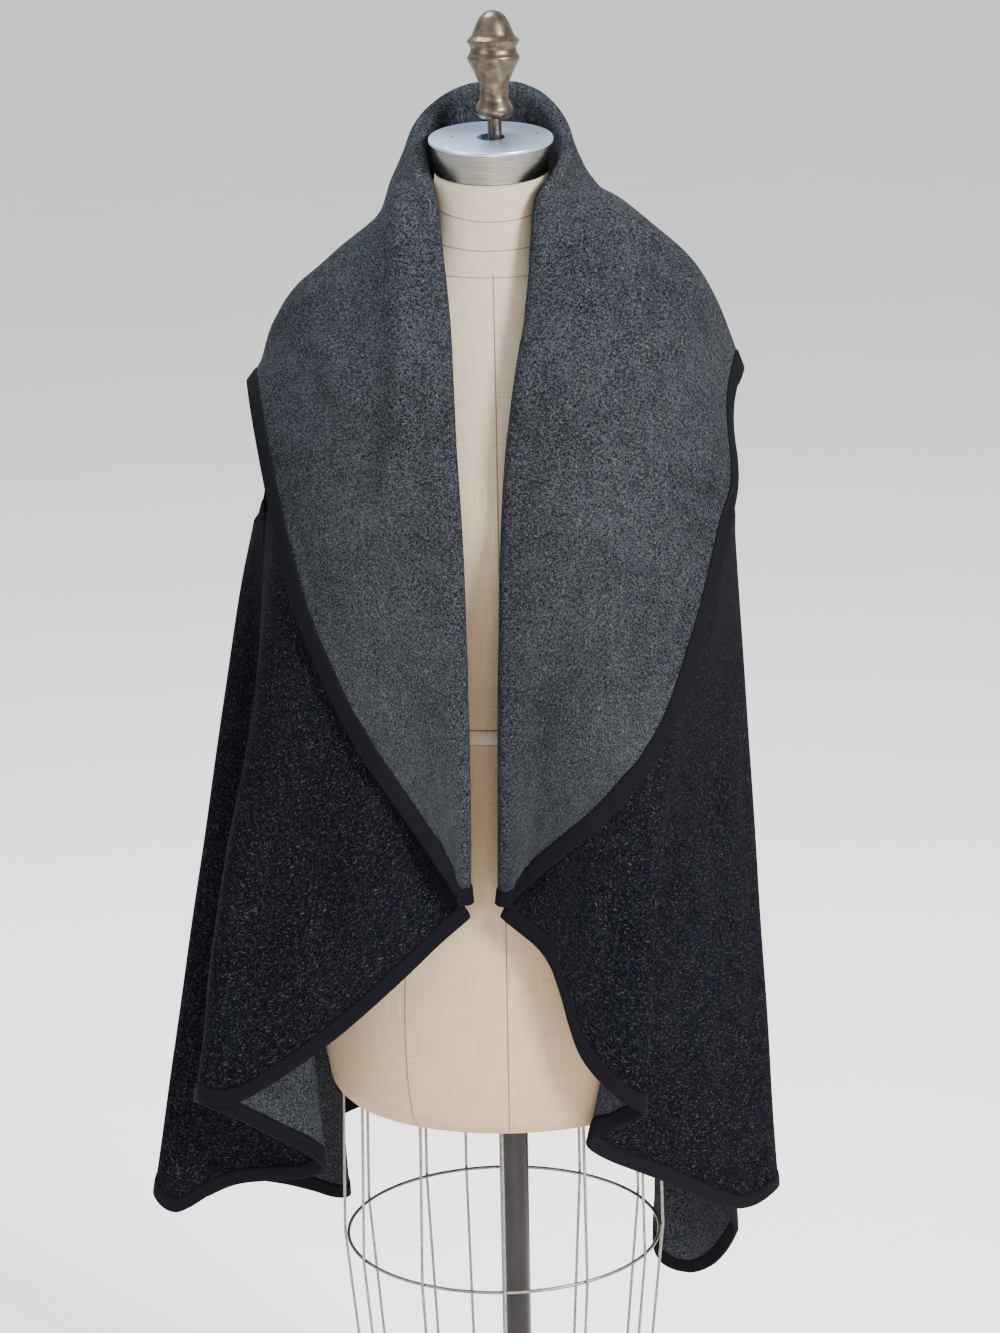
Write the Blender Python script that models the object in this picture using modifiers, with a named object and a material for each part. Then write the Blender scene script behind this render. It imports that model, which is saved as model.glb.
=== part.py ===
"""A shawl collar vest of double-faced wool, worn on a limbless dress form with a wire cage and a pole stand.

Metres, +Z up. The origin is the centre of the base's underside, below the pole. The vest's front faces -Y.
Places in the garment's tables are (out, y, z): out is the distance from the middle plane, towards the
wearer's right on the right side and towards the wearer's left on the left side.
"""
import bpy
import bmesh
import numpy as np
from math import cos, pi, radians, sin, tan
from mathutils import Vector
from mathutils.bvhtree import BVHTree
from mathutils.kdtree import KDTree

# Cloth, metres
CLOTH = 0.0024
SEAM_GAP = 0.0004
SHOULDER_GAP = 0.0010
BINDING_END_GAP = 0.0007
BINDING_WIDTH = 0.013
BINDING_CLOTH = 0.0008
BINDING_GAP = 0.0005
BINDING_EDGE_GAP = 0.0010
ROLL_RADIUS = 0.008
FORM_CLEARANCE = 0.0018
COLLAR_CLEARANCE = 0.0048
LAYER_STEP = 0.0056

# Dress form, metres; the canvas body and its cap stand a little to the wearer's right of the pole
BODY_X = -0.0035
TORSO_SECTORS = 40
CAP_TILT = radians(8)
NECK_TOP = 1.522
NECK_TOP_RADIUS = 0.048
CAP_RADIUS = 0.0525
CAP_HEIGHT = 0.028
CAP_HOLE_RADIUS = 0.0118
CAP_HOLE_DEPTH = 0.006
SPINDLE_RADIUS = 0.006
FINIAL_FOOT = 1.565
POLE_RADIUS = 0.0135
BASE_RADIUS = 0.215
BASE_HEIGHT = 0.022
HUB_RADIUS = 0.034
HUB_TOP = 0.085
WIRE_RADIUS = 0.0014
HOOP_RADIUS = 0.0016
TOUCH_GAP = 0.0003
CAP_SEGMENTS = 40
FINIAL_SEGMENTS = 18
POLE_SEGMENTS = 24
BASE_SEGMENTS = 48
HOOP_POINTS = 36

# Torso: height, half width, depth in front, depth behind, forward tilt in degrees
TORSO_SECTIONS = [
    (0.684, 0.151, 0.108, 0.122, 0),
    (0.691, 0.158, 0.113, 0.127, 0),
    (0.715, 0.165, 0.118, 0.133, 0),
    (0.760, 0.170, 0.121, 0.138, 0),
    (0.810, 0.169, 0.119, 0.139, 0),
    (0.880, 0.160, 0.111, 0.128, 0),
    (0.960, 0.138, 0.100, 0.106, 0),
    (1.049, 0.122, 0.092, 0.088, 0),
    (1.120, 0.129, 0.099, 0.094, 0),
    (1.190, 0.143, 0.114, 0.106, 0),
    (1.245, 0.152, 0.123, 0.114, 0),
    (1.300, 0.158, 0.113, 0.118, 0),
    (1.345, 0.168, 0.098, 0.114, 0),
    (1.375, 0.176, 0.084, 0.104, 0),
    (1.395, 0.170, 0.074, 0.094, 0),
    (1.412, 0.144, 0.068, 0.084, 0),
    (1.430, 0.105, 0.063, 0.073, 0),
    (1.446, 0.078, 0.058, 0.064, 1),
    (1.462, 0.063, 0.055, 0.057, 3),
    (1.485, 0.054, 0.051, 0.051, 6),
    (1.521, 0.0475, 0.0475, 0.0475, 8),
]

# What the cloth keeps clear of above the canvas: the cap, as heights with a radius
CAP_SECTIONS = [
    (1.533, 0.0520, 0.0520, 0.0520),
    (1.550, 0.0540, 0.0540, 0.0540),
    (1.600, 0.0540, 0.0540, 0.0540),
]

# Finial: radius, height above its foot
FINIAL_PROFILE = [
    (0.0000, 0.0885), (0.0060, 0.0872), (0.0105, 0.0835), (0.0137, 0.0780), (0.0162, 0.0720),
    (0.0178, 0.0680), (0.0205, 0.0655), (0.0224, 0.0635), (0.0190, 0.0582), (0.0198, 0.0535),
    (0.0223, 0.0505), (0.0216, 0.0475), (0.0190, 0.0428), (0.0155, 0.0358), (0.0130, 0.0303),
    (0.0120, 0.0260), (0.0119, 0.0205), (0.0121, 0.0155), (0.0140, 0.0120), (0.0160, 0.0080),
    (0.0158, 0.0045), (0.0135, 0.0015), (0.0115, 0.0000),
]

# Cage: height, half width, half depth; the torso's rim, the hoop that shows and the lower hoop
CAGE_TOP = (0.6837, 0.146, 0.104)
CAGE_HOOP = (0.532, 0.146, 0.125)
CAGE_FOOT = (0.300, 0.126, 0.110)
CAGE_CENTRE_X = -0.0105
CAGE_CENTRE_Y = 0.006
WIRE_ANGLES = [270, 240, 210, 180, 150, 120, 104, 60, 30, 0, 330, 300]

# Collar and roll, a row for each station from the front tip (0) by the neck point (1) to the centre back.
# Columns: station, seam, roll edge, fall, bend, free edge
COLLAR_RIGHT = [
    (0.00, (0.0440, -0.128, 0.894), (0.0335, -0.137, 0.917), (0.0440, -0.147, 0.928),
     (0.0480, -0.149, 0.934), (0.052, -0.150, 0.940)),
    (0.15, (0.062, -0.128, 0.955), (0.033, -0.137, 0.975), (0.055, -0.148, 0.988),
     (0.073, -0.151, 0.998), (0.089, -0.150, 1.004)),
    (0.30, (0.063, -0.128, 1.025), (0.0325, -0.137, 1.035), (0.065, -0.147, 1.048),
     (0.094, -0.148, 1.056), (0.121, -0.143, 1.058)),
    (0.45, (0.064, -0.128, 1.095), (0.032, -0.137, 1.100), (0.070, -0.147, 1.110),
     (0.112, -0.146, 1.117), (0.150, -0.134, 1.117)),
    (0.60, (0.065, -0.127, 1.170), (0.033, -0.137, 1.175), (0.078, -0.146, 1.180),
     (0.130, -0.139, 1.184), (0.175, -0.115, 1.180)),
    (0.72, (0.067, -0.123, 1.250), (0.035, -0.134, 1.255), (0.082, -0.142, 1.258),
     (0.142, -0.124, 1.256), (0.192, -0.088, 1.246)),
    (0.82, (0.069, -0.106, 1.335), (0.038, -0.120, 1.338), (0.085, -0.126, 1.340),
     (0.150, -0.094, 1.332), (0.205, -0.050, 1.305)),
    (0.91, (0.070, -0.064, 1.412), (0.041, -0.082, 1.418), (0.085, -0.088, 1.420),
     (0.156, -0.052, 1.393), (0.213, -0.012, 1.342)),
    (1.00, (0.066, -0.006, 1.466), (0.050, -0.045, 1.492), (0.089, -0.045, 1.476),
     (0.166, -0.010, 1.420), (0.215, 0.025, 1.340)),
    (1.15, (0.063, 0.036, 1.466), (0.060, -0.012, 1.525), (0.095, 0.002, 1.487),
     (0.162, 0.035, 1.420), (0.210, 0.070, 1.315)),
    (1.30, (0.045, 0.058, 1.462), (0.064, 0.028, 1.554), (0.087, 0.050, 1.490),
     (0.132, 0.090, 1.405), (0.165, 0.130, 1.290)),
    (1.45, (0.020, 0.068, 1.459), (0.036, 0.064, 1.579), (0.050, 0.092, 1.500),
     (0.072, 0.128, 1.395), (0.085, 0.160, 1.278)),
    (1.60, (0.0004, 0.071, 1.458), (0.0004, 0.074, 1.586), (0.0004, 0.104, 1.505),
     (0.0004, 0.140, 1.392), (0.0004, 0.170, 1.272)),
]
COLLAR_LEFT = [
    (0.00, (0.0025, -0.128, 0.894), (-0.0085, -0.137, 0.915), (0.0030, -0.147, 0.925),
     (0.0080, -0.148, 0.929), (0.013, -0.149, 0.933)),
    (0.15, (0.021, -0.128, 0.950), (-0.0075, -0.137, 0.968), (0.015, -0.146, 0.975),
     (0.036, -0.147, 0.977), (0.058, -0.146, 0.976)),
    (0.30, (0.024, -0.128, 1.020), (-0.0065, -0.137, 1.030), (0.030, -0.147, 1.038),
     (0.064, -0.148, 1.034), (0.098, -0.145, 1.014)),
    (0.45, (0.026, -0.128, 1.092), (-0.005, -0.137, 1.100), (0.038, -0.147, 1.106),
     (0.086, -0.147, 1.100), (0.134, -0.135, 1.064)),
    (0.60, (0.029, -0.127, 1.168), (-0.0025, -0.137, 1.175), (0.045, -0.147, 1.178),
     (0.108, -0.141, 1.166), (0.160, -0.116, 1.130)),
    (0.72, (0.034, -0.123, 1.250), (0.0005, -0.135, 1.255), (0.052, -0.143, 1.255),
     (0.124, -0.128, 1.240), (0.184, -0.088, 1.205)),
    (0.82, (0.044, -0.106, 1.335), (0.009, -0.122, 1.338), (0.062, -0.127, 1.338),
     (0.138, -0.098, 1.318), (0.198, -0.050, 1.262)),
    (0.91, (0.054, -0.066, 1.412), (0.024, -0.084, 1.420), (0.072, -0.088, 1.422),
     (0.150, -0.054, 1.390), (0.195, -0.025, 1.305)),
    (1.00, (0.061, -0.006, 1.466), (0.031, -0.058, 1.486), (0.084, -0.045, 1.486),
     (0.165, -0.008, 1.431), (0.206, 0.015, 1.345)),
    (1.15, (0.059, 0.036, 1.466), (0.042, -0.034, 1.517), (0.093, 0.002, 1.500),
     (0.167, 0.030, 1.425), (0.208, 0.065, 1.318)),
    (1.30, (0.041, 0.058, 1.462), (0.057, 0.022, 1.550), (0.086, 0.048, 1.496),
     (0.136, 0.088, 1.405), (0.168, 0.130, 1.292)),
    (1.45, (0.020, 0.068, 1.459), (0.036, 0.064, 1.579), (0.050, 0.092, 1.500),
     (0.072, 0.128, 1.395), (0.086, 0.160, 1.278)),
    (1.60, (0.0004, 0.071, 1.458), (0.0004, 0.074, 1.586), (0.0004, 0.104, 1.505),
     (0.0004, 0.140, 1.392), (0.0004, 0.170, 1.272)),
]

# Body folds, a row for each line that runs from the top edge to the hem, from the front edge round the side.
# Columns: name, top edge, chest, hem; the chest's places lie at CHEST_SHARE of the way down
CHEST_SHARE = 0.40
FRONT_RIGHT = [
    ("breast", (0.090, -0.0008, 1.449), (0.095, -0.126, 1.190), (0.105, -0.140, 0.838)),
    ("panel", (0.118, -0.0008, 1.436), (0.138, -0.118, 1.195), (0.165, -0.142, 0.786)),
    ("panel edge", (0.146, -0.0008, 1.424), (0.176, -0.106, 1.195), (0.238, -0.138, 0.736)),
    ("ridge", (0.172, -0.0008, 1.409), (0.195, -0.088, 1.190), (0.278, -0.118, 0.727)),
    ("turn", (0.190, -0.028, 1.304), (0.206, -0.054, 1.165), (0.230, -0.078, 0.680)),
    ("valley", (0.204, -0.034, 1.250), (0.204, -0.030, 1.130), (0.174, -0.030, 0.613)),
    ("side", (0.211, -0.020, 1.226), (0.217, -0.012, 1.120), (0.262, 0.002, 0.585)),
    ("side edge", (0.214, -0.008, 1.220), (0.230, -0.005, 1.115), (0.318, 0.006, 0.556)),
    ("crest", (0.215, 0.006, 1.220), (0.238, 0.008, 1.115), (0.337, 0.026, 0.572)),
]
BACK_RIGHT = [
    ("side turn", (0.208, 0.030, 1.228), (0.226, 0.034, 1.120), (0.290, 0.072, 0.560)),
    ("back panel", (0.197, 0.046, 1.252), (0.203, 0.066, 1.130), (0.222, 0.140, 0.514)),
    ("back valley", (0.187, 0.046, 1.288), (0.187, 0.090, 1.150), (0.166, 0.180, 0.480)),
    ("back turn", (0.181, 0.034, 1.335), (0.178, 0.112, 1.180), (0.190, 0.226, 0.520)),
    ("back ridge", (0.172, 0.0008, 1.409), (0.155, 0.129, 1.195), (0.165, 0.240, 0.545)),
    ("shoulder blade", (0.122, 0.0008, 1.434), (0.105, 0.131, 1.195), (0.100, 0.214, 0.572)),
    ("neck point", (0.070, 0.0008, 1.457), (0.052, 0.129, 1.195), (0.050, 0.168, 0.572)),
    ("neckline", (0.045, 0.064, 1.452), (0.026, 0.129, 1.195), (0.024, 0.190, 0.566)),
    ("centre back", (0.000, 0.078, 1.448), (0.000, 0.129, 1.195), (0.000, 0.206, 0.562)),
]
FRONT_LEFT = [
    ("breast", (0.088, -0.0008, 1.450), (0.062, -0.127, 1.190), (0.034, -0.142, 0.861)),
    ("panel", (0.110, -0.0008, 1.440), (0.092, -0.125, 1.190), (0.058, -0.147, 0.780)),
    ("panel edge", (0.132, -0.0008, 1.430), (0.118, -0.121, 1.190), (0.092, -0.152, 0.738)),
    ("ridge", (0.153, -0.0008, 1.420), (0.140, -0.114, 1.190), (0.114, -0.143, 0.718)),
    ("turn", (0.172, -0.0008, 1.409), (0.158, -0.106, 1.180), (0.094, -0.127, 0.700)),
    ("valley", (0.189, -0.030, 1.300), (0.172, -0.090, 1.150), (0.067, -0.114, 0.672)),
    ("side", (0.196, -0.036, 1.250), (0.184, -0.062, 1.130), (0.135, -0.066, 0.615)),
    ("side edge", (0.200, -0.018, 1.224), (0.198, -0.028, 1.120), (0.208, -0.012, 0.558)),
    ("crest", (0.201, 0.006, 1.218), (0.208, 0.006, 1.118), (0.247, 0.024, 0.562)),
]
BACK_LEFT = [
    ("side turn", (0.197, 0.030, 1.226), (0.205, 0.040, 1.120), (0.226, 0.074, 0.540)),
    ("side valley", (0.191, 0.046, 1.250), (0.194, 0.064, 1.130), (0.204, 0.106, 0.498)),
    ("tail ridge", (0.186, 0.046, 1.288), (0.187, 0.084, 1.145), (0.218, 0.132, 0.460)),
    ("tail edge", (0.181, 0.034, 1.335), (0.178, 0.104, 1.165), (0.202, 0.160, 0.410)),
    ("tail", (0.172, 0.0008, 1.409), (0.166, 0.118, 1.185), (0.172, 0.180, 0.388)),
    ("back valley", (0.150, 0.0008, 1.421), (0.150, 0.127, 1.195), (0.142, 0.196, 0.404)),
    ("back ridge", (0.126, 0.0008, 1.433), (0.126, 0.131, 1.195), (0.144, 0.232, 0.480)),
    ("shoulder blade", (0.098, 0.0008, 1.446), (0.090, 0.131, 1.195), (0.094, 0.216, 0.545)),
    ("neck point", (0.070, 0.0008, 1.457), (0.052, 0.129, 1.195), (0.050, 0.172, 0.566)),
    ("neckline", (0.045, 0.064, 1.452), (0.026, 0.129, 1.195), (0.024, 0.190, 0.566)),
]

# Fineness of the cloth's grid
COLLAR_STATIONS_FRONT = [0.0, 0.04, 0.10, 0.19, 0.29, 0.39, 0.49, 0.58,
                         0.66, 0.73, 0.79, 0.85, 0.90, 0.94, 0.97, 1.0]
COLLAR_STATIONS_BACK = [1.08, 1.17, 1.26, 1.35, 1.43, 1.51, 1.60]
COLLAR_KNOTS = [0, 1, 1.25, 1.5, 1.75, 2, 3, 4, 5]
ROLL_COLUMNS = [0.0, 0.55, 1.0, 1.25, 1.5, 1.75, 2.0]
FALL_COLUMNS = 5
TIP_ROWS = 2
STRINGS_PER_FOLD = 3
SIDE_SEAM = 0.5
STRING_SAMPLES = 60

# Rules of the cloth's shape: lengths in metres, and shares of a length
STRAIGHT_BELOW = 0.09
SHORT_BINDING_SHARE = 0.45
CORNER_SHARE = 0.3
LEAST_SLANT = 0.6
STATION_STEP = 0.02
PROBE_STEP = 0.0002
CLEAR_ROUNDS = 4
PUSH_ROUNDS = 12
PUSH_SHARE = 0.8
PUSH_MOST = 0.02
MERGE_DISTANCE = 0.00002


def hermite(knots, rows, x):
    """A smooth curve through rows of numbers at the knots, read at each x."""
    knots = np.asarray(knots, float)
    rows = np.asarray(rows, float)
    x = np.atleast_1d(np.asarray(x, float))
    step = np.diff(knots)
    slope = np.diff(rows, axis=0) / step.reshape((-1,) + (1,) * (rows.ndim - 1))
    tangent = np.empty_like(rows)
    tangent[0] = slope[0]
    tangent[-1] = slope[-1]
    weight = (step[1:] / (step[1:] + step[:-1])).reshape((-1,) + (1,) * (rows.ndim - 1))
    tangent[1:-1] = slope[:-1] * weight + slope[1:] * (1 - weight)
    index = np.clip(np.searchsorted(knots, x, side="right") - 1, 0, len(knots) - 2)
    shape = (-1,) + (1,) * (rows.ndim - 1)
    width = step[index].reshape(shape)
    u = ((x - knots[index]) / step[index]).reshape(shape)
    return ((2 * u**3 - 3 * u**2 + 1) * rows[index] + (u**3 - 2 * u**2 + u) * width * tangent[index]
            + (3 * u**2 - 2 * u**3) * rows[index + 1] + (u**3 - u**2) * width * tangent[index + 1])


def unit(vectors):
    """The vectors at length one."""
    return vectors / np.maximum(np.linalg.norm(vectors, axis=-1, keepdims=True), 1e-12)


def smooth(x):
    """A share from 0 to 1 that starts and ends gently."""
    x = np.clip(x, 0.0, 1.0)
    return x * x * (3 - 2 * x)


def torso_size(z):
    """Half width, front depth and back depth of the torso at each height."""
    table = np.array([row[:4] for row in TORSO_SECTIONS] + CAP_SECTIONS)
    z = np.clip(z, table[0, 0], table[-1, 0])
    return hermite(table[:, 0], table[:, 1:4], z)


def torso_level(points):
    """How far each point stands outside the torso, as a share of the section's size."""
    size = torso_size(points[:, 2])
    depth = np.where(points[:, 1] < 0, size[:, 1], size[:, 2])
    return np.sqrt(((points[:, 0] - BODY_X) / size[:, 0])**2 + (points[:, 1] / depth)**2) - 1


def push_out(points, clearance):
    """Move points that are closer to the torso than the clearance out to that distance."""
    shape = points.shape
    points = points.reshape(-1, 3).copy()
    for _ in range(PUSH_ROUNDS):
        gradient = np.empty_like(points)
        for axis in range(3):
            shift = np.zeros(3)
            shift[axis] = PROBE_STEP
            change = torso_level(points + shift) - torso_level(points - shift)
            gradient[:, axis] = change / (2 * PROBE_STEP)
        length = np.maximum(np.linalg.norm(gradient, axis=1), 1e-6)
        lack = np.clip(clearance - torso_level(points) / length, 0, PUSH_MOST)
        lack[points[:, 2] < TORSO_SECTIONS[0][0]] = 0
        points += gradient / length[:, None] * (PUSH_SHARE * lack)[:, None]
    return points.reshape(shape)


def collar_string(table, station):
    """One line across the collar, from its seam over the roll to its free edge, as five smooth stretches."""
    stations = [row[0] for row in table]
    stations.append(2 * stations[-1] - stations[-2])
    columns = np.array([row[1:] for row in table])
    past_centre = columns[-2] * np.array([-1, 1, 1])
    columns = np.concatenate([columns, past_centre[None]])
    rows = hermite(stations, columns, station)[0]
    ahead = hermite(stations, columns, station + STATION_STEP)[0]
    behind = hermite(stations, columns, max(station - STATION_STEP, 0.0))[0]
    seam, roll, fall, bend, edge = rows
    along = unit(ahead[1] - behind[1])
    inward = (seam + fall) / 2 - roll
    inward = unit(inward - along * (inward @ along))
    outward = fall - seam
    outward = outward - along * (outward @ along)
    outward = unit(outward - inward * (outward @ inward))
    before = roll + ROLL_RADIUS * (inward - outward)
    after = roll + ROLL_RADIUS * (inward + outward)
    quarter = ROLL_RADIUS * (1 - sin(pi / 4))
    before_half = roll + quarter * inward - ROLL_RADIUS * sin(pi / 4) * outward
    after_half = roll + quarter * inward + ROLL_RADIUS * sin(pi / 4) * outward
    return np.array([seam, before, before_half, roll, after_half, after, fall, bend, edge])


def resample(path, places):
    """Points at the given distances along a path of closely spaced points."""
    lengths = np.concatenate([[0], np.cumsum(np.linalg.norm(np.diff(path, axis=0), axis=1))])
    places = np.where(places < 0, lengths[-1] + places, places)
    return np.stack([np.interp(places, lengths, path[:, axis]) for axis in range(3)], -1)


def keep_clear(grid, rule, first_column=0, first_row=0):
    """Move a grid's points by a rule until its points, edges and cells all satisfy it."""
    grid = grid.copy()
    for _ in range(CLEAR_ROUNDS):
        move = np.zeros_like(grid)
        for down, over in ((0, 0), (1, 0), (0, 1), (1, 1)):
            rows, columns = grid.shape[0] - down, grid.shape[1] - over
            corners = [(a, b) for a in range(down + 1) for b in range(over + 1)]
            middle = sum(grid[a:a + rows, b:b + columns] for a, b in corners) / len(corners)
            shift = rule(middle) - middle
            size = np.linalg.norm(shift, axis=-1)
            for a, b in corners:
                view = move[a:a + rows, b:b + columns]
                larger = size > np.linalg.norm(view, axis=-1)
                view[larger] = shift[larger]
        move[:, :first_column] = 0
        move[:first_row] = 0
        grid += move
    return grid


def even_binding(grid):
    """Set the collar's last inner column at the binding's width square to the free edge."""
    edge = grid[:, -1]
    along = unit(np.gradient(edge, axis=0))
    inward = grid[:, -2] - edge
    inward = unit(inward - along * np.sum(inward * along, axis=-1, keepdims=True))
    shift = edge + inward * BINDING_WIDTH - grid[:, -2]
    shift[0] = 0
    shift[-1, 0] = 0
    for column in range(1, FALL_COLUMNS + 1):
        grid[:, len(ROLL_COLUMNS) - 1 + column] += shift * column / FALL_COLUMNS
    return grid


def collar_grid(table, stations, side):
    """Points of the collar: a row for each station, a column for each place across."""
    grid = []
    for station in stations:
        rows = collar_string(table, station)
        start = hermite(COLLAR_KNOTS, rows, ROLL_COLUMNS)
        fall = hermite(COLLAR_KNOTS, rows, np.linspace(ROLL_COLUMNS[-1], 5, STRING_SAMPLES))
        straight = rows[5] + np.linspace(0, 1, STRING_SAMPLES)[:, None] * (rows[-1] - rows[5])
        bulge = smooth(np.linalg.norm(rows[-1] - rows[5]) / STRAIGHT_BELOW)
        fall = straight * (1 - bulge) + fall * bulge
        length = np.linalg.norm(np.diff(fall, axis=0), axis=1).sum()
        width = min(BINDING_WIDTH, SHORT_BINDING_SHARE * length)
        places = np.append(np.linspace(0, length - width, FALL_COLUMNS + 1)[1:], length)
        grid.append(np.concatenate([start, resample(fall, places)]))
    grid = even_binding(np.array(grid))
    grid[:, :, 0] *= side
    grid = keep_clear(grid, lie_on_shoulder, len(ROLL_COLUMNS) - 2)
    grid[:, :len(ROLL_COLUMNS)] = keep_clear(grid[:, :len(ROLL_COLUMNS)], rest_on_form)
    return grid


def rest_on_form(points):
    """Move points out until cloth there just clears the canvas."""
    return push_out(points, FORM_CLEARANCE + CLOTH / 2)


def lie_on_shoulder(points):
    """Move points out until cloth there clears the panels that lie on the canvas."""
    return push_out(points, COLLAR_CLEARANCE + CLOTH)


def joined(grids, flip=False):
    """The points and cells of several grids, one after another."""
    faces = []
    offset = 0
    for grid in grids:
        faces += grid_faces(grid.shape[0], grid.shape[1], offset, flip)
        offset += grid.shape[0] * grid.shape[1]
    return np.concatenate([grid.reshape(-1, 3) for grid in grids]), faces


def lift_rule(below):
    """A rule that moves points out until they lie over the panels below."""
    points, faces = joined(below)
    tree = BVHTree.FromPolygons([tuple(p) for p in points], faces)

    def rule(grid):
        moved = grid.copy()
        for k in np.ndindex(grid.shape[:2]):
            point = Vector(grid[k])
            place, normal, _, distance = tree.find_nearest(point)
            away = normal if normal.dot(Vector((place.x, place.y, 0))) > 0 else -normal
            height = (point - place).dot(away)
            if distance < LAYER_STEP or -2 * LAYER_STEP < height < -0.5 * distance:
                moved[k] = point + away * (LAYER_STEP - height)
        return moved
    return rule


def join_line(table, t):
    """The line behind the roll where the front panel goes over into the collar."""
    stations = [row[0] for row in table]
    seams = np.array([row[1] for row in table])
    return hermite(stations, seams, 1 - np.asarray(t))


def fold_lines(collar, front, back, t):
    """Places of the fold lines at each t, from the front edge round to the centre back."""
    places = [join_line(collar, t)]
    for row in front + back:
        places.append(hermite([0, CHEST_SHARE, 1], row[1:], t))
    return np.array(places)


def body_points(lines, across, t):
    """Body points at fold coordinate across; corners stay sharp at the top edge and round off below."""
    knots = np.arange(len(lines))
    rounded = hermite(knots, lines, across)
    index = np.clip(np.floor(across).astype(int), 0, len(lines) - 2)
    share = (across - index).reshape(-1, 1, 1)
    straight = lines[index] * (1 - share) + lines[index + 1] * share
    blend = smooth(t / CORNER_SHARE).reshape(1, -1, 1)
    return straight * (1 - blend) + rounded * blend


def body_grid(collar, front, back, side, across, rows):
    """Body points of one side: a row for each place along, a column for each string."""
    t = np.linspace(0, 1, STRING_SAMPLES)
    fine = body_points(fold_lines(collar, front, back, t), across, t)
    fine[:, :, 0] *= side
    fine = rest_on_form(fine)
    grid = []
    for index, path in enumerate(fine):
        length = np.linalg.norm(np.diff(path, axis=0), axis=1).sum()
        points = resample(path, np.array(rows) * length)
        nearest = fine[min(index + 1, len(fine) - 1)] - fine[max(index - 1, 0)]
        if across[index] > 0:
            for end, row, sign in ((0, 1, 1), (-1, -2, -1)):
                string = unit(path[end + sign * 2] - path[end])
                edge = unit(nearest[end])
                slant = max(np.linalg.norm(np.cross(string, edge)), LEAST_SLANT)
                points[row] = resample(path, np.array([sign * BINDING_WIDTH / slant]))[0]
        grid.append(points)
    return np.array(grid).transpose(1, 0, 2)


def strings(first, last):
    """Fold coordinates of the strings between two fold lines."""
    places = []
    for fold in range(first, last):
        for k in range(STRINGS_PER_FOLD):
            places.append(fold + k / STRINGS_PER_FOLD)
    places.append(last)
    return np.array(places, float)


def split_seam(grid_a, grid_b):
    """Part two grids that share a border: the last column of the first and the first of the second."""
    across = unit(grid_b[:, 1] - grid_a[:, -2])
    grid_a[:, -1] -= across * SEAM_GAP / 2
    grid_b[:, 0] += across * SEAM_GAP / 2


def part_shoulder(grid, folds, across, sign):
    """Keep a panel's top row on its own side of the shoulder seam."""
    tops = [sign] + [row[1][1] for row in folds]
    height = np.interp(across, np.arange(len(tops)), np.abs(tops))
    on_shoulder = height < SHOULDER_GAP
    grid[0, on_shoulder, 1] = sign * SHOULDER_GAP


def grid_faces(rows, columns, offset=0, flip=False):
    """The cells of a grid as faces of point numbers."""
    faces = []
    for i in range(rows - 1):
        for j in range(columns - 1):
            face = (offset + i * columns + j, offset + i * columns + j + 1,
                    offset + (i + 1) * columns + j + 1, offset + (i + 1) * columns + j)
            faces.append(face[::-1] if flip else face)
    return faces


def triangles(faces, guide):
    """Split each cell along its shorter diagonal, read from the guide's points."""
    result = []
    for a, b, c, d in faces:
        if np.linalg.norm(guide[a] - guide[c]) < np.linalg.norm(guide[b] - guide[d]):
            result += [(a, b, c), (a, c, d)]
        else:
            result += [(a, b, d), (b, c, d)]
    return result


def mesh_object(name, points, faces, collection, look):
    """A mesh from points and faces, its double points merged."""
    mesh = bpy.data.meshes.new(name)
    mesh.from_pydata([tuple(p) for p in points], [], faces)
    mesh.validate()
    shape = bmesh.new()
    shape.from_mesh(mesh)
    bmesh.ops.remove_doubles(shape, verts=shape.verts, dist=MERGE_DISTANCE)
    bmesh.ops.dissolve_degenerate(shape, edges=shape.edges, dist=MERGE_DISTANCE / 20)
    shape.to_mesh(mesh)
    shape.free()
    mesh.materials.append(look)
    mesh.shade_smooth()
    item = bpy.data.objects.new(name, mesh)
    collection.objects.link(item)
    return item


def solidify(item, thickness, offset):
    """Give an open surface its thickness."""
    wall = item.modifiers.new("Wall", "SOLIDIFY")
    wall.thickness = thickness
    wall.offset = offset
    wall.use_even_offset = False


def surface_normals(item, points):
    """The mesh's own normals at the given points."""
    mesh = item.data
    tree = KDTree(len(mesh.vertices))
    for vertex in mesh.vertices:
        tree.insert(vertex.co, vertex.index)
    tree.balance()
    return np.array([mesh.vertex_normals[tree.find(Vector(p))[1]].vector for p in points])


def binding_rows(item, edge, inner):
    """Four rows of points that wrap a cloth's edge on both faces, and the cloth's own points there."""
    half = CLOTH / 2 + BINDING_GAP
    edge_normal = surface_normals(item, edge)
    inner_normal = surface_normals(item, inner)
    past = unit(edge - inner) * BINDING_EDGE_GAP
    rows = np.array([inner + inner_normal * half, edge + past + edge_normal * half,
                     edge + past - edge_normal * half, inner - inner_normal * half])
    return rows, np.array([inner, edge, edge, inner])


def add_binding(name, wrap, collection, look, short_ends):
    """A folded strip of binding, from its rows of inside points and the cloth's points that they lie on."""
    rows, guide = wrap
    count = rows.shape[1]
    for end, beside in short_ends:
        rows[:, end] += unit(rows[:, beside] - rows[:, end]) * BINDING_END_GAP
    middle = count // 2
    outward = rows[1, middle] - rows[0, middle]
    facing = np.cross(rows[1, middle + 1] - rows[1, middle], rows[2, middle] - rows[1, middle])
    if facing @ outward < 0:
        rows = rows[::-1]
    cells = grid_faces(4, count)
    round_edge = slice(count - 1, 2 * count - 2)
    faces = triangles(cells[:round_edge.start] + cells[round_edge.stop:], guide.reshape(-1, 3))
    faces += triangles(cells[round_edge], rows.reshape(-1, 3))
    item = mesh_object(name, rows.reshape(-1, 3), faces, collection, look)
    solidify(item, BINDING_CLOTH, 1.0)
    return item


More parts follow.
